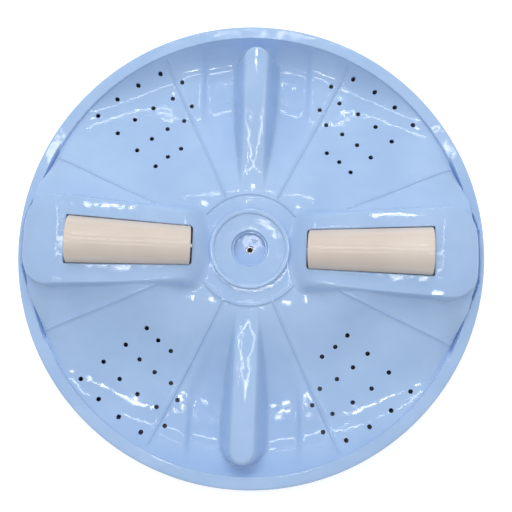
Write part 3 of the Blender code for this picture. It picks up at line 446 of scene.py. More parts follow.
# %% Thin ribs
RIB_WIDTH = 0.0018
RIB_RISE = 0.0011
RIB_TOP_HALF = 0.0002
RIB_FOOT_HALF = RIB_TOP_HALF + RIB_WIDTH * 0.72
ARC_RIB_RADIUS = 0.0455
ARC_RIB_END = radians(38.0)
STEEP_RIB_ANGLE = radians(64.2)
SHALLOW_RIB_START = 0.080
STRAIGHT_RIBS = ((STEEP_RIB_ANGLE, ARC_RIB_RADIUS), (SHALLOW_RIB_ANGLE, SHALLOW_RIB_START))


def rib_rise(distance):
    """The rib's section: a rounded bead with a soft foot."""
    return RIB_RISE * (1.0 - ramp(np.abs(distance), RIB_TOP_HALF, RIB_FOOT_HALF))


def ribs_height(x, y):
    radius, angle = np.hypot(x, y), np.arctan2(y, x)
    short = np.maximum(ARC_RIB_END - angle, 0.0) * radius
    rise = rib_rise(np.hypot(radius - ARC_RIB_RADIUS, short))
    for rib_angle, start in STRAIGHT_RIBS:
        across = y * cos(rib_angle) - x * sin(rib_angle)
        along = x * cos(rib_angle) + y * sin(rib_angle)
        ends = np.maximum(np.maximum(start - along, along - CREASE_RADIUS + 2 * RIB_TOP_HALF), 0.0)
        rise = np.maximum(rise, rib_rise(np.hypot(across, ends)))
    return rise


# %% [markdown]
# The window over a roller is cut square to the roller's axis, and its edge is rounded by the mould. The
# same small rounding runs round every drain hole. Both are written as a drop in height close to the edge.

# %% Windows and drain holes
END_GAP = 0.0012
WINDOW_SIDE_GAP = 0.0007
WINDOW_EDGE_ROUND = 0.0011
WINDOW_INNER_CORNER = 0.0026
WINDOW_OUTER_CORNER = 0.0009
WINDOW_STEP = 0.0016
HOLE_RADIUS = 0.0018
HOLE_EDGE_ROUND = 0.0005
HOLE_ROWS = (0.1049, 0.1269, 0.1493, 0.1716)
HOLE_COLUMNS = [radians(39.6 + 7.2 * i) for i in range(4)]
MISSING_HOLE = (HOLE_ROWS[0], HOLE_COLUMNS[3])
EXTRA_HOLES = [(0.1365, radians(66.1)), (0.1593, radians(66.1))]


def roller_radius(along):
    return mix(ROLLER_INNER_RADIUS, ROLLER_OUTER_RADIUS, along / ROLLER_LENGTH)


def window_half(along):
    return np.sqrt(roller_radius(along) ** 2 - ROLLER_SINK ** 2) + WINDOW_SIDE_GAP


def plan_x(along):
    """Where a station on the roller's axis comes up through the pod's top."""
    return ROLLER_START + along * cos(ROLLER_TILT) - ROLLER_SINK * sin(ROLLER_TILT)


WINDOW_X = (plan_x(-END_GAP), plan_x(ROLLER_LENGTH + END_GAP))
WINDOW_Y = (float(window_half(-END_GAP)), float(window_half(ROLLER_LENGTH + END_GAP)))


def window_outline(offset=0.0):
    """The window's outline in plan, moved outwards by an offset, with rounded corners."""
    slope = (WINDOW_Y[1] - WINDOW_Y[0]) / (WINDOW_X[1] - WINDOW_X[0])
    start, end = WINDOW_X[0] - offset, WINDOW_X[1] + offset
    low, high = WINDOW_Y[0] - slope * offset + offset, WINDOW_Y[1] + slope * offset + offset
    inner, outer = WINDOW_INNER_CORNER + offset, WINDOW_OUTER_CORNER + offset
    sides = (low - inner, end - outer - start - inner, high - outer)
    first, second, third = (round(length / WINDOW_STEP) for length in sides)
    half = line_points((start, 0.0), (start, low - inner), first)[:-1]
    half += arc_points(inner, 180, 90, 6, (start + inner, low - inner))
    half += line_points((start + inner, low), (end - outer, high), second)[1:-1]
    half += arc_points(outer, 90, 0, 6, (end - outer, high - outer))
    half += line_points((end, high - outer), (end, 0.0), third)[1:]
    return half + [(x, -y) for x, y in reversed(half[1:-1])]


def window_distance(x, y):
    share = (x - WINDOW_X[0]) / (WINDOW_X[1] - WINDOW_X[0])
    beside = np.abs(y) - mix(WINDOW_Y[0], WINDOW_Y[1], share)
    beyond = np.maximum(WINDOW_X[0] - x, x - WINDOW_X[1])
    return box_distance(beside, beyond, np.where(share < 0.5, WINDOW_INNER_CORNER, WINDOW_OUTER_CORNER))


def drain_holes():
    places = [(radius, angle) for radius in HOLE_ROWS for angle in HOLE_COLUMNS]
    places.remove(MISSING_HOLE)
    return [polar(radius, angle) for radius, angle in places + EXTRA_HOLES]


HOLES = drain_holes()
print("drain holes in a quarter", len(HOLES), "window x", [round(v, 4) for v in WINDOW_X])


def hole_distance(x, y):
    nearest = np.full_like(x, 1.0)
    for hole_x, hole_y in HOLES:
        nearest = np.minimum(nearest, np.hypot(x - hole_x, y - hole_y))
    return nearest - HOLE_RADIUS


# %% The whole deck
GROUND_BELOW_CREST = 0.0045
GROUND_CLIMB = 1.2
GROUND_BLEND = 0.003
VANE_FOOT_BLEND = 0.0060
POD_FOOT_BLEND = 0.0020
BALL_RINGS = (0.4, 0.75, 1.0)
BALL_TURNS = 12


def smooth_deck(x, y):
    """The top of the deck without its thin ribs and rounded edges. The ground stays below the pods' tops."""
    x, y = np.abs(x), np.abs(y)
    radius = np.hypot(x, y)
    cap = crest_height(x) - GROUND_BELOW_CREST + np.maximum(pod_distance(x, y), 0.0) * GROUND_CLIMB
    ground = lower_of(ground_height(x, y), cap, GROUND_BLEND)
    ground = np.where(radius > CREASE_RADIUS, np.maximum(lip_height(radius), ground), ground)
    deck = higher_of(ground, vane_height(x, y), VANE_FOOT_BLEND)
    deck = higher_of(deck, pod_height(x, y), POD_FOOT_BLEND * (1.0 + near_hub(x)))
    return deck - lip_channel(x, y)


def deck_height(x, y):
    x, y = np.abs(x), np.abs(y)
    deck = smooth_deck(x, y) + ribs_height(x, y)
    deck = deck - edge_drop(window_distance(x, y), WINDOW_EDGE_ROUND)
    return deck - edge_drop(hole_distance(x, y), HOLE_EDGE_ROUND)


def under_height(x, y):
    """The wall's thickness below the deck: the lowest of small balls rolled along its top."""
    under = smooth_deck(x, y) - WALL
    for share in BALL_RINGS:
        drop = WALL * math.sqrt(1.0 - share * share)
        for step in range(BALL_TURNS):
            move_x, move_y = polar(WALL * share, 2 * pi * step / BALL_TURNS)
            under = np.minimum(under, smooth_deck(x + move_x, y + move_y) - drop)
    return under


def at(function, x, y):
    """One height as a plain number."""
    return float(function(np.array([x]), np.array([y]))[0])


samples = {"basin": (0.055, 0.125), "shallow rib": (0.110, 0.048),
           "vane crest": (0.0, 0.150), "pod": (0.10, 0.03)}
for name, (x, y) in samples.items():
    top = at(deck_height, x, y) * 1000
    print(name, round(top, 1), "mm, wall", round(top - at(under_height, x, y) * 1000, 1))


# %% [markdown]
# ## The mesh of the disc
#
# Drawing such a plate by hand would start from a circle and end in thousands of moved points. Here the plan
# is filled with points instead: rows of them follow each edge, pod, vane and rib, and an even spread fills
# the rest. A Delaunay triangulation joins them, the windows and drain holes are left out, and each point is
# lifted to its height. The same plan makes the underside, so that the wall is closed all round. The hub and
# the rim are turned profiles.

# %% Sizes of the plan
PLAN_INNER = RING_OUTER_RADIUS
PLAN_OUTER = DISC_RADIUS - WALL
HUB_SIDES = 144
RIM_SIDES = 432
HOLE_SIDES = 16
ROW_STEP = 0.0022
POD_ROW_START = 0.030
POD_CORNER_STEPS = 14
VANE_ROW_START = 0.040
ARC_RIB_STEPS = 44
ARC_RIB_OVERRUN = 0.03
PANEL_SPACING = 0.00247
PANEL_ROW = PANEL_SPACING * 0.866
# Rows lie close together where the surface bends and spread out beside it.
WINDOW_ROWS = (0.0003, 0.0007, 0.0012, 0.0022)
HOLE_ROUND_ROWS = (HOLE_EDGE_ROUND * 0.4, HOLE_EDGE_ROUND)
CREASE_ROWS = (-0.0022, -0.0010, -0.0003, 0.0, 0.0003, 0.0007, 0.0012, 0.0020, 0.0028, 0.0036, 0.0044,
               0.0051, 0.0057, 0.0062, 0.0067, 0.0072, 0.0077)
RIB_ROWS = (0.0, 0.00045, 0.0009, 0.0014)
POD_ROWS = (-0.0060, -0.0040, -0.0026, -0.0016, -0.0008, 0.0, 0.0007, 0.0014, 0.0022, 0.0032, 0.0046)
VANE_ROWS = (-0.0044, -0.0028, -0.0016, -0.0006, 0.0004, 0.0014, 0.0026, 0.0040, 0.0056, 0.0074, 0.0094)
HUB_ROWS = (0.0334, 0.0342, 0.0352, 0.0364)
# No point is set nearer than this to one that is already there.
WINDOW_GAP = 0.00028
HOLE_GAP = 0.0001
CREASE_GAP = 0.00025
RIB_GAP = 0.0004
POD_GAP = 0.0005
VANE_GAP = 0.0006
HUB_GAP = 0.0005
PANEL_GAP = PANEL_SPACING * 0.62
row_kinds = (WINDOW_ROWS, CREASE_ROWS, RIB_ROWS, POD_ROWS, VANE_ROWS, HUB_ROWS)
print("rows along features", sum(len(kind) for kind in row_kinds))

# %% Rows of points


def in_all_quarters(points):
    return [(sx * x, sy * y) for sx, sy in ((1, 1), (-1, 1), (-1, -1), (1, -1)) for x, y in points]


def pod_row(offset):
    """Points along the pod's outline, moved outwards by an offset, in the first quarter."""
    row = []
    x = POD_ROW_START
    while pod_half_width(x) ** 2 + x * x < (POD_NOSE_RADIUS - POD_CORNER) ** 2:
        row.append((x, pod_half_width(x) + offset))
        x += ROW_STEP
    nose = (-POD_CORNER, POD_NOSE_RADIUS - POD_CORNER)
    for i in range(POD_CORNER_STEPS + 1):
        beside, beyond = polar(POD_CORNER + offset, radians(90) * i / POD_CORNER_STEPS, nose)
        # The side leans and the nose is round, so x and y are brought together in a few rounds.
        for _ in range(6):
            y = pod_half_width(x) + beside
            x = math.sqrt(beyond ** 2 - y * y)
        row.append((x, y))
    radius = POD_NOSE_RADIUS + offset
    last = math.atan2(row[-1][1], row[-1][0])
    count = round(last * radius / ROW_STEP)
    row += [polar(radius, last * (1 - i / count)) for i in range(1, count + 1)]
    inner, outer = PLAN_INNER + 0.001, PLAN_OUTER - 0.0006
    return [point for point in row if point[1] >= 0.0 and inner < math.hypot(*point) < outer]


def vane_row(offset):
    """Points along one side of a vane and round its end."""
    half = VANE_TOP_HALF + offset
    count = round((VANE_END - VANE_ROW_START) / ROW_STEP)
    row = line_points((half, VANE_ROW_START), (half, VANE_END), count)
    return row + arc_points(half, 0, 90, 9, (0.0, VANE_END))[1:]


def rib_rows():
    rows = []
    for angle, start in STRAIGHT_RIBS:
        count = round((CREASE_RADIUS - start) / RIB_WIDTH)
        for offset in RIB_ROWS:
            for side in (offset, -offset):
                for i in range(count):
                    along = mix(start, CREASE_RADIUS, i / count)
                    rows.append((along * cos(angle) - side * sin(angle),
                                 along * sin(angle) + side * cos(angle)))
    for offset in sorted({*RIB_ROWS, *(-offset for offset in RIB_ROWS)}):
        turns = [mix(ARC_RIB_END - ARC_RIB_OVERRUN, pi / 2, i / ARC_RIB_STEPS)
                 for i in range(ARC_RIB_STEPS + 1)]
        rows += [polar(ARC_RIB_RADIUS + offset, turn) for turn in turns]
    return rows


# %% Points of the plan


class PointField:
    """Keeps points that aren't too close to those already there."""

    def __init__(self, cell):
        self.cell = cell
        self.cells = {}
        self.points = []

    def key(self, point):
        return (math.floor(point[0] / self.cell), math.floor(point[1] / self.cell))

    def is_free(self, point, distance):
        column, row = self.key(point)
        near = [(column + i, row + j) for i in (-1, 0, 1) for j in (-1, 0, 1)]
        return all(math.dist(point, other) >= distance for key in near for other in self.cells.get(key, ()))

    def add(self, points, distance):
        for point in points:
            if self.is_free(point, distance):
                self.cells.setdefault(self.key(point), []).append(point)
                self.points.append(point)


def window_pair(offset=0.0):
    """The outlines of the right and of the left window."""
    outline = window_outline(offset)
    return [outline, [(-x, y) for x, y in outline]]


def plan_points():
    """Boundary loops first, then rows along the features, then an even spread."""
    field = PointField(PANEL_SPACING)
    holes = in_all_quarters(HOLES)
    loops = [circle_points(PLAN_INNER, HUB_SIDES), circle_points(PLAN_OUTER, RIM_SIDES), *window_pair()]
    loops += [circle_points(HOLE_RADIUS, HOLE_SIDES, hole) for hole in holes]
    rows = [(loop, 0.0) for loop in loops]
    rows += [(outline, WINDOW_GAP) for offset in WINDOW_ROWS for outline in window_pair(offset)]
    rows += [(circle_points(HOLE_RADIUS + offset, HOLE_SIDES, hole), HOLE_GAP)
             for hole in holes for offset in HOLE_ROUND_ROWS]
    rows += [(circle_points(CREASE_RADIUS + offset, RIM_SIDES), CREASE_GAP) for offset in CREASE_ROWS]
    rows += [(in_all_quarters(rib_rows()), RIB_GAP)]
    rows += [(in_all_quarters(pod_row(offset)), POD_GAP) for offset in POD_ROWS]
    rows += [(in_all_quarters(vane_row(offset)), VANE_GAP) for offset in VANE_ROWS]
    rows += [(circle_points(radius, HUB_SIDES), HUB_GAP) for radius in HUB_ROWS]
    count = round(2 * PLAN_OUTER / PANEL_ROW)
    reach = math.ceil(PLAN_OUTER / PANEL_SPACING)
    for j in range(-count // 2, count // 2 + 1):
        spread = [((i + 0.5 * (j % 2)) * PANEL_SPACING, j * PANEL_ROW) for i in range(-reach, reach + 1)]
        rows.append(([p for p in spread if PLAN_INNER < math.hypot(*p) < PLAN_OUTER], PANEL_GAP))
    for row, distance in rows:
        field.add(row, distance)
    return field.points, loops


points, loops = plan_points()
print("plan points", len(points), "loops", len(loops))

# %% Triangles of the plan


def plan_triangles(points, loops):
    index = {point: i for i, point in enumerate(points)}
    edges = []
    for loop in loops:
        ids = [index[p] for p in loop]
        edges += list(zip(ids, ids[1:] + ids[:1]))
    result = delaunay_2d_cdt([Vector(p) for p in points], edges, [], 0, 1e-7, True)
    places = np.array([points[given[0]] if given else (v.x, v.y) for v, given in zip(result[0], result[3])])
    new_index = {given: i for i, source in enumerate(result[3]) for given in source}
    rings = [[new_index[index[p]] for p in loop] for loop in loops]
    faces = np.array([f for f in result[2] if len(f) == 3])
    middle = places[faces].mean(axis=1)
    x, y = np.abs(middle[:, 0]), np.abs(middle[:, 1])
    radius = np.hypot(x, y)
    keep = (radius > PLAN_INNER * cos(pi / HUB_SIDES)) & (radius < PLAN_OUTER)
    keep &= (window_distance(x, y) > -1e-5) & (hole_distance(x, y) > -HOLE_RADIUS * 0.03)
    a, b, c = (places[faces[:, i]] for i in range(3))
    area = (b[:, 0] - a[:, 0]) * (c[:, 1] - a[:, 1]) - (b[:, 1] - a[:, 1]) * (c[:, 0] - a[:, 0])
    faces[area < 0] = faces[area < 0][:, ::-1]
    keep &= np.abs(area) > 1e-12
    return places, faces[keep], rings


places, faces, rings = plan_triangles(points, loops)
print("triangles in plan", len(faces))

# %% [markdown]
# The hub and the rim are turned profiles. Each starts at the deck's edge, goes round the outside and comes
# back to the underside's edge, so the whole disc closes into one skin.

# %% Hub and rim profiles
RECESS_RADIUS = 0.0147
RECESS_STEP_DEPTH = 0.0034
RECESS_STEP_WIDTH = 0.0018
RECESS_DEPTH = 0.0085
RECESS_FLOOR = 0.0040
RECESS_BRACE = 0.0030
SCREW_HOLE_RADIUS = 0.0031
INSERT_RADIUS = 0.0105
BOSS_WALL = 0.0035
BOSS_RADIUS = INSERT_RADIUS + BOSS_WALL
BOSS_BOTTOM = 0.0020
RECESS_BOTTOM = HUB_FACE - RECESS_DEPTH
INSERT_SEAT = RECESS_BOTTOM - RECESS_FLOOR
DRAFT = 0.0002
SKIRT_FOOT = 0.002


def rounded(profile, steps=5):
    """A profile of (radius, height, corner) points whose corners are replaced by short arcs."""
    result = []
    for i, (radius, height, corner) in enumerate(profile):
        if not corner:
            result.append((radius, height))
            continue
        here = Vector((radius, height))
        before = (Vector(profile[i - 1][:2]) - here).normalized() * corner
        after = (Vector(profile[i + 1][:2]) - here).normalized() * corner
        for t in (step / steps for step in range(steps + 1)):
            result.append(tuple(here + before * (1 - t) ** 2 + after * t * t))
    return result


def hub_profile():
    """Over the ring, down the recess and the insert's seat, round the boss and back under the deck."""
    x, y = polar(PLAN_INNER, 0.9)
    ring_top = HUB_FACE + RING_RISE
    step_height, step_radius = HUB_FACE - RECESS_STEP_DEPTH, RECESS_RADIUS - RECESS_STEP_WIDTH
    outside, ceiling = RECESS_RADIUS + WALL, HUB_FACE - WALL
    return rounded([
        (PLAN_INNER, at(deck_height, x, y), 0), (RING_OUTER_RADIUS - DRAFT, ring_top, 0.0014),
        (RING_INNER_RADIUS, ring_top, 0.0012), (RING_INNER_RADIUS - 2 * DRAFT, HUB_FACE, 0.0006),
        (RECESS_RADIUS, HUB_FACE, 0.0010), (RECESS_RADIUS - DRAFT, step_height, 0.0004),
        (step_radius, step_height, 0.0006), (step_radius - DRAFT, RECESS_BOTTOM, 0.0005),
        (SCREW_HOLE_RADIUS, RECESS_BOTTOM, 0.0004), (SCREW_HOLE_RADIUS, INSERT_SEAT, 0),
        (INSERT_RADIUS, INSERT_SEAT, 0), (INSERT_RADIUS, BOSS_BOTTOM, 0.0003),
        (BOSS_RADIUS, BOSS_BOTTOM, 0.0006), (BOSS_RADIUS, INSERT_SEAT, 0.0015),
        (outside, RECESS_BOTTOM + RECESS_BRACE, 0), (outside, ceiling, 0.0015),
        (PLAN_INNER - WALL, ceiling, 0), (PLAN_INNER, at(under_height, x, y), 0)])


def rim_profile():
    profile = arc_points(EDGE_ROUND, 90, 0, 6, (LIP_TOP_OUTER, RIM_TOP - EDGE_ROUND))
    profile += [(DISC_RADIUS, RIM_TOP * share) for share in (0.75, 0.5, 0.25)]
    profile += rounded([(DISC_RADIUS, SKIRT_FOOT, 0), (DISC_RADIUS, 0.0, 0.0007),
                        (PLAN_OUTER, 0.0, 0.0005), (PLAN_OUTER, SKIRT_FOOT, 0)], 3)
    return profile + [(PLAN_OUTER, RIM_TOP * 0.5)]


print("hub profile", len(hub_profile()), "rim profile", len(rim_profile()))

# %% Skin of the disc


def add_turned(vertices, faces, profile, sides, first, last):
    """Rings for a profile between two loops of vertices that are already there."""
    loops = [first]
    for radius, height in profile:
        start = len(vertices)
        vertices.extend((x, y, height) for x, y in circle_points(radius, sides))
        loops.append(list(range(start, start + sides)))
    loops.append(last)
    for low, high in zip(loops, loops[1:]):
        for i in range(sides):
            j = (i + 1) % sides
            faces.append((low[i], low[j], high[j], high[i]))


def disc_skin(places, triangles, rings):
    """Top, underside, window and hole walls, hub and rim as one closed mesh."""
    x, y = places[:, 0], places[:, 1]
    count = len(places)
    vertices = []
    for height in (deck_height, under_height):
        vertices += [tuple(v) for v in np.column_stack([x, y, height(x, y)])]
    faces = [tuple(int(i) for i in f) for f in triangles]
    faces += [tuple(i + count for i in reversed(f)) for f in faces]
    for ring in rings[2:]:
        faces += [(a, b, b + count, a + count) for a, b in zip(ring, ring[1:] + ring[:1])]
    turned = ((hub_profile()[1:-1], HUB_SIDES), (rim_profile(), RIM_SIDES))
    for ring, (profile, sides) in zip(rings, turned):
        add_turned(vertices, faces, profile, sides, ring, [i + count for i in ring])
    return vertices, faces


def link_mesh(name, vertices, faces, edges=()):
    mesh = bpy.data.meshes.new(name)
    mesh.from_pydata(vertices, list(edges), faces)
    mesh.validate()
    return new_object(name, mesh)


disc = link_mesh("disc_moulding", *disc_skin(places, faces, rings))
edit = bmesh.new()
edit.from_mesh(disc.data)
bmesh.ops.recalc_face_normals(edit, faces=edit.faces)
open_edges = sum(1 for e in edit.edges if not e.is_manifold)
volume = round(edit.calc_volume() * 1e6, 1)
print("disc", len(edit.verts), "points", len(edit.faces), "faces", open_edges, "open edges")
print("volume", volume, "cm3")
edit.to_mesh(disc.data)
edit.free()

# %% Normals of the deck
NORMAL_STEP = 0.00004


def deck_normals(x, y):
    """The deck's own slopes, so that its triangles don't show in the glints."""
    slope_x = (deck_height(x + NORMAL_STEP, y) - deck_height(x - NORMAL_STEP, y)) / (2 * NORMAL_STEP)
    slope_y = (deck_height(x, y + NORMAL_STEP) - deck_height(x, y - NORMAL_STEP)) / (2 * NORMAL_STEP)
    length = np.sqrt(1 + slope_x ** 2 + slope_y ** 2)
    return np.column_stack([-slope_x / length, -slope_y / length, 1 / length])


normals = [tuple(normal) for normal in deck_normals(places[:, 0], places[:, 1])]
disc.data.shade_smooth()
loop_normals = []
for polygon in disc.data.polygons:
    on_top = all(i < len(normals) for i in polygon.vertices)
    loop_normals += [normals[i] if on_top else (0.0, 0.0, 0.0) for i in polygon.vertices]
disc.data.normals_split_custom_set(loop_normals)
print("deck normals", len(normals))

# %% [markdown]
# ## Underside of the disc
#
# Under the deck hang the walls of the two roller pockets with the thick blocks that carry the axles, the
# bosses for the cover screws, the radial webs and the four ring webs. Each starts inside the deck's wall.
# The pockets are cut by the slots that take the axles from below.

# %% Sizes under the deck
GAP = 0.0003
POCKET_CLEARANCE = 0.0012
POCKET_WALL = 0.0022
AXLE_RADIUS = 0.0025
AXLE_SEAT = 0.0030
AXLE_BACKING = 0.0010
AXLE_BLOCK = AXLE_SEAT + GAP + AXLE_BACKING
SEAT_HEIGHT = RIM_TOP - 0.0080
WEB_THICKNESS = 0.0020
WEB_BOTTOM = 0.0020
WEB_ANGLES = [radians(a) for a in (50.4, 72.0)]
SCREW_SHANK_RADIUS = 0.0015
SCREW_SHANK_LENGTH = 0.0110
SCREW_BOSS_RADIUS = 0.0038
SCREW_WALL = 0.0025
POST_OVERLAP = 0.0010
CHAMFER = 0.0004
SOFT_EDGE = 0.0005
SMALL_EDGE = 0.0003
ROLLER_END = ROLLER_START + ROLLER_LENGTH * cos(ROLLER_TILT)
POCKET_START = ROLLER_START - ROLLER_SINK * sin(ROLLER_TILT) - END_GAP
POCKET_END = ROLLER_END + ROLLER_OUTER_RADIUS * sin(ROLLER_TILT) + END_GAP
POCKET_ENDS = ((POCKET_START, -1), (POCKET_END, 1))
SIDES = {"left": -1, "right": 1}
MERGE_DISTANCE = 0.000002
print("roller pocket from", round(POCKET_START, 4), "to", round(POCKET_END, 4))

# %% Tools for shaping


def only(piece):
    """Selects one piece alone and makes it active."""
    deselect_all()
    piece.select_set(True)
    bpy.context.view_layer.objects.active = piece


def apply_modifier(piece, kind, **settings):
    only(piece)
    modifier = piece.modifiers.new(kind.lower(), kind)
    for key, value in settings.items():
        setattr(modifier, key, value)
    bpy.ops.object.modifier_apply(modifier=modifier.name)


def carve(piece, cutter, operation="DIFFERENCE"):
    """Cuts or adds one shape with an exact Boolean."""
    apply_modifier(piece, "BOOLEAN", operation=operation, object=cutter, solver="EXACT")
    bpy.data.objects.remove(cutter, do_unlink=True)


def join_into(piece, others):
    only(piece)
    for other in others:
        other.select_set(True)
    bpy.ops.object.join()


def edit_whole(piece, *operations):
    """Runs mesh operations on all of a piece."""
    only(piece)
    bpy.ops.object.mode_set(mode="EDIT")
    bpy.ops.mesh.select_all(action="SELECT")
    for operation, settings in operations:
        operation(**settings)
    bpy.ops.object.mode_set(mode="OBJECT")


def fix_normals(piece):
    edit_whole(piece, (bpy.ops.mesh.remove_doubles, {"threshold": MERGE_DISTANCE}),
               (bpy.ops.mesh.normals_make_consistent, {"inside": False}))
    return piece


def smooth_by_angle(piece, degrees=32):
    only(piece)
    bpy.ops.object.shade_smooth_by_angle(angle=radians(degrees))


def settle(piece, place):
    """Puts a piece in its place and applies it, so that the piece itself stays unturned at the origin."""
    only(piece)
    piece.matrix_world = place
    bpy.ops.object.transform_apply(location=True, rotation=True, scale=True)


def spun(name, profile, steps):
    """A closed profile of (radius, height) drawn in the XZ plane and spun round Z."""
    edges = [(i, (i + 1) % len(profile)) for i in range(len(profile))]
    piece = link_mesh(name, [(radius, 0.0, height) for radius, height in profile], [], edges)
    spin = {"steps": steps, "angle": 2 * pi, "center": (0, 0, 0), "axis": (0, 0, 1)}
    edit_whole(piece, (bpy.ops.mesh.spin, spin))
    return fix_normals(piece)


def slab(name, outline, low, high):
    """An outline filled as one face and extruded upwards."""
    piece = link_mesh(name, [(x, y, low) for x, y in outline], [tuple(range(len(outline)))])
    lift = {"TRANSFORM_OT_translate": {"value": (0, 0, high - low)}}
    edit_whole(piece, (bpy.ops.mesh.extrude_region_move, lift))
    return fix_normals(piece)


def prism(name, first, second):
    """Two outlines with the same number of corners, joined by flat sides."""
    count = len(first)
    faces = [tuple(range(count)), tuple(range(count, 2 * count))]
    faces += [(i, (i + 1) % count, (i + 1) % count + count, i + count) for i in range(count)]
    return fix_normals(link_mesh(name, first + second, faces))


# %% Walls that hang from the deck


def root_height(x, y):
    """Inside the wall of the deck, the hub or the lip, where a hanging wall starts."""
    radius = math.hypot(x, y)
    if radius < RING_OUTER_RADIUS:
        return HUB_FACE - WALL / 2
    if radius > CREASE_RADIUS:
        return RIM_TOP - WALL / 2
    return at(deck_height, x, y) - WALL / 2


def hanging_wall(name, path, thickness, bottom, closed=False):
    """A wall of one thickness along a path, with a rounded lower edge."""
    count = len(path)
    rings = []
    for i, point in enumerate(path):
        before = path[(i - 1) % count] if closed or i else point
        after = path[(i + 1) % count] if closed or i < count - 1 else point
        ways = [Vector(b) - Vector(a) for a, b in ((before, point), (point, after)) if a != b]
        way = sum((w.normalized() for w in ways), Vector((0, 0))).normalized()
        half = thickness / 2 / max(way.dot(ways[0].normalized()), 0.5)
        side = Vector((-way.y, way.x)) * half
        soft = SOFT_EDGE / half
        low = bottom + SOFT_EDGE
        ring = [(-1, low), (-1 + soft, bottom), (1 - soft, bottom), (1, low), (1, None), (-1, None)]
        corners = [(Vector(point) + side * s, z) for s, z in ring]
        rings.append([(p.x, p.y, root_height(p.x, p.y) if z is None else z) for p, z in corners])
    vertices = [v for ring in rings for v in ring]
    faces = []
    for i in range(count if closed else count - 1):
        j = (i + 1) % count
        faces += [(i * 6 + k, i * 6 + (k + 1) % 6, j * 6 + (k + 1) % 6, j * 6 + k) for k in range(6)]
    if not closed:
        faces += [tuple(range(6)), tuple(range((count - 1) * 6, count * 6))]
    return fix_normals(link_mesh(name, vertices, faces))


def straight_web(name, turn, reach, steps):
    """A web from the hub's boss outwards."""
    path = line_points(polar(BOSS_RADIUS, turn), polar(reach, turn), steps)
    return hanging_wall(name, path, WEB_THICKNESS, WEB_BOTTOM)


def mirrored_angles(angle):
    return (angle, pi - angle, pi + angle, -angle)


def web_walls():
    walls = [straight_web("vane_web", turn, VANE_END, 40) for turn in (pi / 2, -pi / 2)]
    walls += [straight_web("web", turn, DISC_RADIUS - WALL / 2, 60)
              for angle in WEB_ANGLES for turn in mirrored_angles(angle)]
    ring = (HOLE_ROWS[0] + HOLE_ROWS[1]) / 2
    first = math.asin((pod_half_width(ring) + WEB_THICKNESS) / ring)
    for start, end in zip(mirrored_angles(first), mirrored_angles(WEB_ANGLES[-1])):
        arc = [polar(ring, mix(start, end, i / 30)) for i in range(31)]
        walls.append(hanging_wall("ring_web", arc, WEB_THICKNESS, WEB_BOTTOM))
    return walls


walls = web_walls()
print("webs", len(walls))

# %% Roller pockets
SCREW_X = (ROLLER_START + 0.0144, ROLLER_END - 0.0099)


def roller_place(side):
    """Local Z runs along the roller's axis from its narrow end."""
    along = Vector((cos(ROLLER_TILT), 0.0, sin(ROLLER_TILT)))
    up = Vector((-sin(ROLLER_TILT), 0.0, cos(ROLLER_TILT)))
    frame_axes = Matrix((up, up.cross(along), along)).transposed().to_4x4()
    frame_axes.translation = (ROLLER_START, 0.0, axis_height(ROLLER_START))
    return Matrix.Rotation(pi if side < 0 else 0.0, 4, "Z") @ frame_axes


def axis_height(x):
    return CREST_START + (x - ROLLER_START) * math.tan(ROLLER_TILT) - ROLLER_SINK / cos(ROLLER_TILT)


def pocket_half_width(x):
    return roller_radius((x - ROLLER_START) / cos(ROLLER_TILT)) + POCKET_CLEARANCE + POCKET_WALL / 2


def screw_places(side):
    places = []
    for x in SCREW_X:
        offset = pocket_half_width(x) + POCKET_WALL / 2 + SCREW_WALL + SCREW_SHANK_RADIUS
        places += [(side * x, offset), (side * x, -offset)]
    return places


def axle_slot(side, face, way):
    """The slot that takes one end of the axle from below, with a half-round roof."""
    radius = AXLE_RADIUS + GAP
    rings = []
    for x in (face - way * POCKET_WALL, face + way * (AXLE_SEAT + GAP)):
        ring = [(side * x, -radius, SEAT_HEIGHT - WALL), (side * x, radius, SEAT_HEIGHT - WALL)]
        rings.append(ring + [(side * x, y, axis_height(x) + z) for y, z in arc_points(radius, 0, 180, 16)])
    return prism("axle_slot", *rings)


def screw_post(x, y):
    """A boss with its pilot hole and a small countersink."""
    bore = SCREW_SHANK_RADIUS + GAP
    top = root_height(x, y) - POST_OVERLAP
    end = SEAT_HEIGHT + SCREW_SHANK_LENGTH
    profile = [(bore, SEAT_HEIGHT + CHAMFER), (bore + CHAMFER, SEAT_HEIGHT),
               (SCREW_BOSS_RADIUS - SOFT_EDGE, SEAT_HEIGHT), (SCREW_BOSS_RADIUS, SEAT_HEIGHT + SOFT_EDGE),
               (SCREW_BOSS_RADIUS, top), (0.0002, top), (0.0002, end), (bore, end)]
    piece = spun("screw_post", profile, 32)
    settle(piece, Matrix.Translation((x, y, 0.0)))
    return piece


def roller_pocket(side):
    """The wall round one roller with its axle blocks and screw bosses."""
    start, end = POCKET_START - POCKET_WALL / 2, POCKET_END + POCKET_WALL / 2
    low, high = pocket_half_width(start), pocket_half_width(end)
    corners = [(start, low), (end, high), (end, -high), (start, -low), (start, low)]
    loop = [(side * x, y) for a, b, steps in zip(corners, corners[1:], (20, 8, 20, 8))
            for x, y in line_points(a, b, steps)[:-1]]
    pocket = hanging_wall("roller_pocket", loop, POCKET_WALL, SEAT_HEIGHT, True)
    half = AXLE_RADIUS + GAP + POCKET_WALL
    for face, way in POCKET_ENDS:
        x = side * (face + way * AXLE_BLOCK / 2)
        block = hanging_wall("axle_block", line_points((x, -half), (x, half), 4), AXLE_BLOCK, SEAT_HEIGHT)
        carve(pocket, block, "UNION")
    for face, way in POCKET_ENDS:
        carve(pocket, axle_slot(side, face, way))
    join_into(pocket, [screw_post(x, y) for x, y in screw_places(side)])
    return pocket


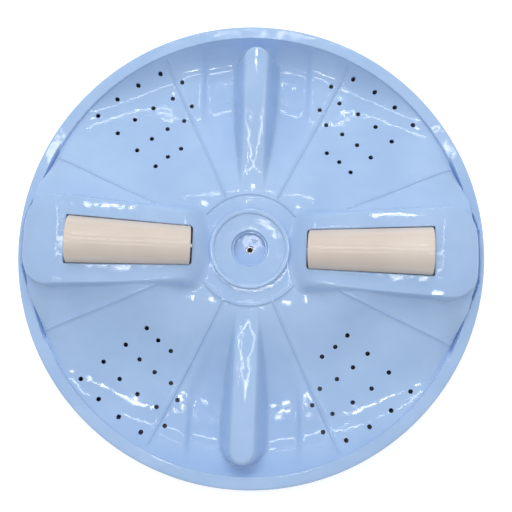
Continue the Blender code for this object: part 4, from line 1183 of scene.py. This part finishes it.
walls += [roller_pocket(side) for side in (1, -1)]
for wall in walls:
    smooth_by_angle(wall, 35)
join_into(disc, walls)
print("disc with its underside", len(disc.data.polygons), "faces")

# %% [markdown]
# ## Rollers
#
# Each roller is a hollow tapered shell with a rounded edge at both ends. Its wide end is closed by a plug
# with a sunk face and short spokes. The profile is drawn once, spun, and placed for each side.

# %% Roller shells
ROLLER_WALL = 0.0022
ROLLER_ROUND = 0.0012
ROLLER_RINGS = 16
PLUG_THICKNESS = 0.0060
BORE = AXLE_RADIUS + GAP
HUB_TUBE = BORE + ROLLER_WALL


def shell_profile():
    """Outside from the narrow end to the wide one, then back along the inside."""
    edge, end = ROLLER_ROUND, ROLLER_LENGTH
    seat, seat_floor = ROLLER_OUTER_RADIUS - ROLLER_WALL, ROLLER_LENGTH - PLUG_THICKNESS
    profile = [(BORE, CHAMFER), (BORE + CHAMFER, 0.0), (ROLLER_INNER_RADIUS * 0.45, 0.0)]
    profile += arc_points(edge, -90, -2, 8, (ROLLER_INNER_RADIUS - edge, edge))
    for i in range(1, ROLLER_RINGS):
        along = mix(edge, end - edge, i / ROLLER_RINGS)
        profile.append((roller_radius(along), along))
    profile += arc_points(edge, 2, 90, 8, (ROLLER_OUTER_RADIUS - edge, end - edge))
    profile += [(seat + SMALL_EDGE, end), (seat, end - SMALL_EDGE), (seat, seat_floor),
                (seat - ROLLER_WALL / 2, seat_floor), (ROLLER_INNER_RADIUS - ROLLER_WALL, ROLLER_WALL * 2),
                (HUB_TUBE, ROLLER_WALL * 2), (HUB_TUBE, ROLLER_WALL * 4), (BORE, ROLLER_WALL * 4)]
    return profile


def placed_copy(master, name, place):
    """A copy with its own mesh, put in its place."""
    copy = new_object(name, master.data.copy())
    settle(copy, place)
    return copy


def on_both_sides(master, ending, shift=0.0):
    """Left and right copies of a piece that was modelled along Z. The first one is then removed."""
    smooth_by_angle(master)
    print(ending, len(master.data.polygons), "faces each")
    lift = Matrix.Translation((0, 0, shift))
    copies = {}
    for name, side in SIDES.items():
        copies[name] = placed_copy(master, f"{name}_{ending}", roller_place(side) @ lift)
    bpy.data.objects.remove(master, do_unlink=True)
    return copies


shells = on_both_sides(spun("roller_shell", shell_profile(), 128), "scrub_roller")

# %% Roller plugs
SPOKES = 6
SPOKE_HALF = 0.0007
SPOKE_DROP = 0.0009


def plug_profile():
    """Up the snap tube, out to the shell, over the rim and back across the sunk face to the bore."""
    end, radius = ROLLER_LENGTH, ROLLER_OUTER_RADIUS - ROLLER_WALL - GAP
    low, sunk, face = end - PLUG_THICKNESS + GAP, end - ROLLER_WALL, radius - ROLLER_WALL
    return [(BORE, low - ROLLER_WALL * 2), (HUB_TUBE, low - ROLLER_WALL * 2), (HUB_TUBE, low),
            (radius - CHAMFER, low), (radius, low + CHAMFER), (radius, end - SOFT_EDGE),
            (radius - SOFT_EDGE, end), (face + SOFT_EDGE, end), (face, end - SOFT_EDGE),
            (face - SMALL_EDGE, sunk + SMALL_EDGE), (face - 2 * SMALL_EDGE, sunk),
            (HUB_TUBE + 2 * SMALL_EDGE, sunk), (HUB_TUBE + SMALL_EDGE, sunk + SMALL_EDGE),
            (HUB_TUBE, end - SOFT_EDGE), (HUB_TUBE - SOFT_EDGE, end),
            (BORE + CHAMFER, end), (BORE, end - CHAMFER)]


def plug_spokes():
    """Six thin spokes across the sunk face."""
    inner = HUB_TUBE - 2 * SMALL_EDGE
    outer = ROLLER_OUTER_RADIUS - ROLLER_WALL * 2 - GAP + CHAMFER
    outline = [(inner, -SPOKE_HALF), (outer, -SPOKE_HALF), (outer, SPOKE_HALF), (inner, SPOKE_HALF)]
    low, high = ROLLER_LENGTH - ROLLER_WALL - SOFT_EDGE, ROLLER_LENGTH - SPOKE_DROP
    spokes = []
    for i in range(SPOKES):
        spoke = slab("plug_spoke", outline, low, high)
        apply_modifier(spoke, "BEVEL", width=0.0002, segments=2, limit_method="ANGLE")
        settle(spoke, Matrix.Rotation(2 * pi * i / SPOKES, 4, "Z"))
        spokes.append(spoke)
    return spokes


plug_master = spun("roller_plug", plug_profile(), 96)
for spoke in plug_spokes():
    carve(plug_master, spoke, "UNION")
plugs = on_both_sides(plug_master, "roller_end_plug")

# %% Axles
AXLE_CHAMFER = AXLE_RADIUS * 0.2
AXLE_REACH = POCKET_END - POCKET_START + 2 * AXLE_SEAT
AXLE_LENGTH = (AXLE_REACH - 2 * AXLE_RADIUS * sin(ROLLER_TILT)) / cos(ROLLER_TILT)
AXLE_MIDDLE = ((POCKET_START + POCKET_END) / 2 - ROLLER_START) / cos(ROLLER_TILT)


def axle_profile():
    """A pin with a small chamfer and a shallow domed face at each end."""
    half = AXLE_LENGTH / 2
    side = half - AXLE_CHAMFER
    up = [(0.0004, half), (AXLE_RADIUS - AXLE_CHAMFER, half - 0.0001), (AXLE_RADIUS, side)]
    middle = [(AXLE_RADIUS, mix(side, -side, i / 8)) for i in range(1, 8)]
    return up + middle + [(radius, -height) for radius, height in reversed(up)]


axles = on_both_sides(spun("axle", axle_profile(), 48), "steel_axle", AXLE_MIDDLE)
print("axle length", round(AXLE_LENGTH, 4))

# %% [markdown]
# ## Hub insert
#
# The bright metal seen through the small hole is the top of the insert that takes the drive shaft. Its
# outside is knurled so that the plastic grips it, and its bore has the spline.

# %% Splined insert
INSERT_HEIGHT = 0.0170
INSERT_WEB = 0.0025
INSERT_HOLE_RADIUS = 0.0021
INSERT_TOP = INSERT_SEAT - GAP
INSERT_BOTTOM = INSERT_TOP - INSERT_HEIGHT
KNURL_TEETH = 18
KNURL_DEPTH = 0.0005
SPLINE_TEETH = 11
SPLINE_TIP_RADIUS = 0.0052
SPLINE_ROOT_RADIUS = 0.0062
TOOTH_FLANK_SHARE = 0.06


def toothed_outline(teeth, root, tip):
    """Square teeth with several points along each land, so that the lands stay round."""
    flank = TOOTH_FLANK_SHARE
    shares = ((flank, root), (0.25 - flank / 2, root), (0.25 + flank, tip),
              (0.5, tip), (0.75 - flank, tip), (1 - flank, root))
    pitch = 2 * pi / teeth
    return [polar(radius, pitch * (tooth + share)) for tooth in range(teeth) for share, radius in shares]


knurl = toothed_outline(KNURL_TEETH, INSERT_RADIUS - KNURL_DEPTH, INSERT_RADIUS)
insert = slab("splined_insert", knurl, INSERT_BOTTOM, INSERT_TOP)
teeth = toothed_outline(SPLINE_TEETH, SPLINE_ROOT_RADIUS, SPLINE_TIP_RADIUS)
carve(insert, slab("spline", teeth, INSERT_BOTTOM - WALL, INSERT_TOP - INSERT_WEB))
carve(insert, slab("screw_way", circle_points(INSERT_HOLE_RADIUS, 48), INSERT_BOTTOM, INSERT_TOP + WALL))
apply_modifier(insert, "BEVEL", width=0.00012, segments=2, limit_method="ANGLE", angle_limit=radians(50))
smooth_by_angle(insert, 25)
print("insert", len(insert.data.polygons), "faces, top at", round(INSERT_TOP, 4))

# %% [markdown]
# ## Covers and screws
#
# A cover closes each pocket from below. It has water slots, two posts that hold the axle up, and four
# screws. The right cover is modelled once. The left one is its copy, turned half round the spin axis.

# %% Roller covers
COVER_THICKNESS = 0.0026
COVER_END_MARGIN = 0.0030
COVER_SLOT_WIDTH = 0.0050
COVER_SLOT_REACH = 0.72
COVER_SLOTS = 5
COVER_TOP = SEAT_HEIGHT - GAP
COVER_BOTTOM = COVER_TOP - COVER_THICKNESS


def cover_outline():
    start = POCKET_START - AXLE_BLOCK - COVER_END_MARGIN
    end = POCKET_END + AXLE_BLOCK + COVER_END_MARGIN
    places = screw_places(1)
    corner = SCREW_BOSS_RADIUS
    narrow, wide = places[0][1] + corner, places[2][1] + corner
    half = [(start, narrow - corner * 2), (start + corner * 2, narrow), (places[2][0], wide),
            (end - corner * 2, wide - corner), (end, wide - corner * 3)]
    return half + [(x, -y) for x, y in reversed(half)]


def slot_outline(index):
    """A long hole with round ends, across the cover."""
    share = (index + 1) / (COVER_SLOTS + 1)
    x, width = mix(ROLLER_START, ROLLER_END, share), COVER_SLOT_WIDTH / 2
    half = float(window_half(ROLLER_LENGTH * share)) * COVER_SLOT_REACH
    return arc_points(width, 0, 180, 12, (x, half)) + arc_points(width, 180, 360, 12, (x, -half))


def keeper_post(face, way):
    """The post that fills an axle slot from below."""
    half, low = AXLE_RADIUS - GAP / 2, COVER_TOP - POST_OVERLAP
    rings = []
    for x in (face, face + way * (AXLE_SEAT - GAP)):
        top = axis_height(x) - AXLE_RADIUS / cos(ROLLER_TILT) - GAP
        rings.append([(x, -half, low), (x, half, low), (x, half, top), (x, -half, top)])
    return prism("keeper", *rings)


cover = slab("right_pocket_cover", cover_outline(), COVER_BOTTOM, COVER_TOP)
openings = [slot_outline(index) for index in range(COVER_SLOTS)]
openings += [circle_points(SCREW_SHANK_RADIUS + GAP, 24, place) for place in screw_places(1)]
for opening in openings:
    carve(cover, slab("opening", opening, COVER_BOTTOM - WALL, COVER_TOP + WALL))
for face, way in POCKET_ENDS:
    carve(cover, keeper_post(face, way), "UNION")
apply_modifier(cover, "BEVEL", width=0.0003, segments=2, limit_method="ANGLE", angle_limit=radians(40))
smooth_by_angle(cover)
left_cover = placed_copy(cover, "left_pocket_cover", Matrix.Rotation(pi, 4, "Z"))
print("cover", len(cover.data.polygons), "faces")

# %% Cover screws
SCREW_HEAD_RADIUS = 0.0033
SCREW_HEAD_HEIGHT = 0.0022
SCREW_CORE_RADIUS = SCREW_SHANK_RADIUS * 0.8
SCREW_PITCH = 0.0012
SCREW_POINT_RADIUS = 0.0003
HEAD_TOP = COVER_BOTTOM - GAP
HEAD_BOTTOM = HEAD_TOP - SCREW_HEAD_HEIGHT
SCREW_TIP = HEAD_TOP + COVER_THICKNESS + SCREW_SHANK_LENGTH - 0.0015


def screw_profile():
    """A domed pan head, head down, a shank with thread ridges and a point."""
    dome = ((0.55, 0.0001), (0.8, 0.0005), (0.95, 0.0011), (1.0, 0.0016))
    profile = [(SCREW_POINT_RADIUS, HEAD_BOTTOM)]
    profile += [(SCREW_HEAD_RADIUS * share, HEAD_BOTTOM + rise) for share, rise in dome]
    profile += [(SCREW_HEAD_RADIUS, HEAD_TOP - 0.0002), (SCREW_HEAD_RADIUS - 0.0002, HEAD_TOP)]
    profile.append((SCREW_CORE_RADIUS, HEAD_TOP))
    start = HEAD_TOP + 0.0020
    while start + SCREW_PITCH < SCREW_TIP - 0.0022:
        profile += [(SCREW_CORE_RADIUS, start), (SCREW_SHANK_RADIUS, start + SCREW_PITCH * 0.45),
                    (SCREW_SHANK_RADIUS, start + SCREW_PITCH * 0.55)]
        start += SCREW_PITCH
    return profile + [(SCREW_CORE_RADIUS, start), (SCREW_POINT_RADIUS, SCREW_TIP)]


def recess_bar(turn):
    """One arm of the cross recess, which narrows into the head."""
    half, width = 0.0018, 0.0004
    outline = [(-half, -width), (half, -width), (half, width), (-half, width)]
    bar = slab("recess_bar", outline, HEAD_BOTTOM - 0.0010, HEAD_BOTTOM + 0.0013)
    for vertex in bar.data.vertices:
        if vertex.co.z > HEAD_BOTTOM:
            vertex.co.x *= 0.45
            vertex.co.y *= 0.6
    settle(bar, Matrix.Rotation(turn, 4, "Z"))
    return bar


screw_master = spun("cover_screw", screw_profile(), 36)
recess = recess_bar(0.0)
carve(recess, recess_bar(pi / 2), "UNION")
carve(screw_master, recess)
smooth_by_angle(screw_master, 38)
screws = {name: [placed_copy(screw_master, f"{name}_pocket_screw_{i + 1}", Matrix.Translation((x, y, 0.0)))
                 for i, (x, y) in enumerate(screw_places(side))] for name, side in SIDES.items()}
bpy.data.objects.remove(screw_master, do_unlink=True)
print("screws", {name: len(group) for name, group in screws.items()})

# %% [markdown]
# ## Materials
#
# Four finishes: glossy blue polypropylene, satin cream polypropylene, matt white polypropylene and turned
# steel. Patterns are laid in object coordinates, so one unit is one metre and a scale of 100 gives waves
# about 10 mm long.

# %% Polypropylene


def moulded_plastic(name, colours, roughness, wave, grain):
    """Moulded polypropylene: slow colour drift, sink waves that bend the glints and a fine grain."""
    material, tree, shader = new_material(name)
    place = add_node(tree, "ShaderNodeTexCoord").outputs["Object"]
    patterns = ({"Scale": 26.0, "Detail": 3.0}, {"Scale": 210.0, "Detail": 5.0, "Roughness": 0.6},
                {"Scale": wave[0], "Detail": 1.0, "Roughness": 0.4}, {"Scale": grain[0], "Detail": 2.0})
    noises = [add_node(tree, "ShaderNodeTexNoise", pattern, {"Vector": place}) for pattern in patterns]
    drift, scuff, sink, fine = (noise.outputs["Fac"] for noise in noises)
    tone = add_node(tree, "ShaderNodeValToRGB", links={"Fac": drift})
    for element, position, colour in zip(tone.color_ramp.elements, (0.35, 0.65), colours):
        element.position = position
        element.color = linear(colour)
    spread = {"From Min": 0.35, "From Max": 0.7, "To Min": roughness[0], "To Max": roughness[1]}
    gloss = add_node(tree, "ShaderNodeMapRange", spread, {"Value": scuff})
    waves = add_node(tree, "ShaderNodeBump", {"Strength": 1.0, "Distance": wave[1]}, {"Height": sink})
    bumps = add_node(tree, "ShaderNodeBump", {"Strength": 1.0, "Distance": grain[1]},
                     {"Height": fine, "Normal": waves.outputs["Normal"]})
    tree.links.new(tone.outputs["Color"], shader.inputs["Base Color"])
    tree.links.new(gloss.outputs["Result"], shader.inputs["Roughness"])
    tree.links.new(bumps.outputs["Normal"], shader.inputs["Normal"])
    shader.inputs["IOR"].default_value = 1.49
    return material


# Shallow sink waves about 11 mm long make the glints ripple as they do on real thin-walled polypropylene.
blue = moulded_plastic("glossy_blue_injection_moulded_polypropylene",
                       colours=("A3C1E9", "ABC8EE"), roughness=(0.05, 0.12),
                       wave=(90.0, 0.00030), grain=(1500.0, 0.000004))
# The rollers are duller: a satin mould finish, waves of about 25 mm and a grain of about 0.6 mm.
cream = moulded_plastic("satin_cream_moulded_polypropylene",
                        colours=("D8CBC0", "DED2C8"), roughness=(0.17, 0.25),
                        wave=(40.0, 0.00010), grain=(1700.0, 0.000010))
# The covers are never seen in use, so their mould was left with a matt grain.
white = moulded_plastic("matt_white_moulded_polypropylene",
                        colours=("DCE2EA", "E4E9EF"), roughness=(0.42, 0.55),
                        wave=(40.0, 0.00010), grain=(1400.0, 0.000015))


# %% Turned steel


def turned_steel(name):
    """Bright steel with fine turning marks round the Z axis."""
    material, tree, shader = new_material(name)
    place = add_node(tree, "ShaderNodeTexCoord").outputs["Object"]
    rings = add_node(tree, "ShaderNodeTexWave",
                     {"wave_type": "RINGS", "rings_direction": "Z", "Scale": 900.0,
                      "Distortion": 0.6, "Detail": 2.0}, {"Vector": place})
    marks = add_node(tree, "ShaderNodeBump", {"Strength": 0.5, "Distance": 0.00001},
                     {"Height": rings.outputs["Fac"]})
    tree.links.new(marks.outputs["Normal"], shader.inputs["Normal"])
    wear = add_node(tree, "ShaderNodeTexNoise", {"Scale": 600.0, "Detail": 3.0}, {"Vector": place})
    gloss = add_node(tree, "ShaderNodeMapRange", {"To Min": 0.18, "To Max": 0.34},
                     {"Value": wear.outputs["Fac"]})
    tree.links.new(gloss.outputs["Result"], shader.inputs["Roughness"])
    shader.inputs["Base Color"].default_value = linear("D3D3D1")
    shader.inputs["Metallic"].default_value = 1.0
    return material


steel = turned_steel("turned_stainless_steel")

# %% [markdown]
# ## Riding on the frame
#
# Each piece rides on its body, replaces its solid and takes its colour slot. The screws are numbered as the
# solids.

# %% Bodies, replaced nodes and slots


def finish_piece(piece, material, body, nodes):
    piece.data.materials.clear()
    piece.data.materials.append(material)
    for polygon in piece.data.polygons:
        polygon.material_index = 0
    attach(piece, body)
    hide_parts(*nodes)


finish_piece(disc, blue, "disc_body", ["pulsator_disc"])
finish_piece(insert, steel, "disc_body", ["spline_insert"])
finish_piece(cover, white, "disc_body", ["right_roller_cover"])
finish_piece(left_cover, white, "disc_body", ["left_roller_cover"])
for name in SIDES:
    finish_piece(shells[name], cream, f"{name}_roller", [f"{name}_roller_shell"])
    finish_piece(plugs[name], cream, f"{name}_roller", [f"{name}_roller_plug"])
    finish_piece(axles[name], steel, "disc_body", [f"{name}_roller_axle"])
for name in SIDES:
    for number, screw in enumerate(screws[name], start=1):
        finish_piece(screw, steel, "disc_body", [f"{name}_cover_screw_{number}"])
print("pieces on the frame", 4 + 3 * len(SIDES) + sum(len(group) for group in screws.values()))

# %% Size of the finished model
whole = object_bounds()
for name, (low, high) in (("cad", cad_box), ("model", whole)):
    print(name, [round((b - a) * 1000, 2) for a, b in zip(low, high)], "mm")
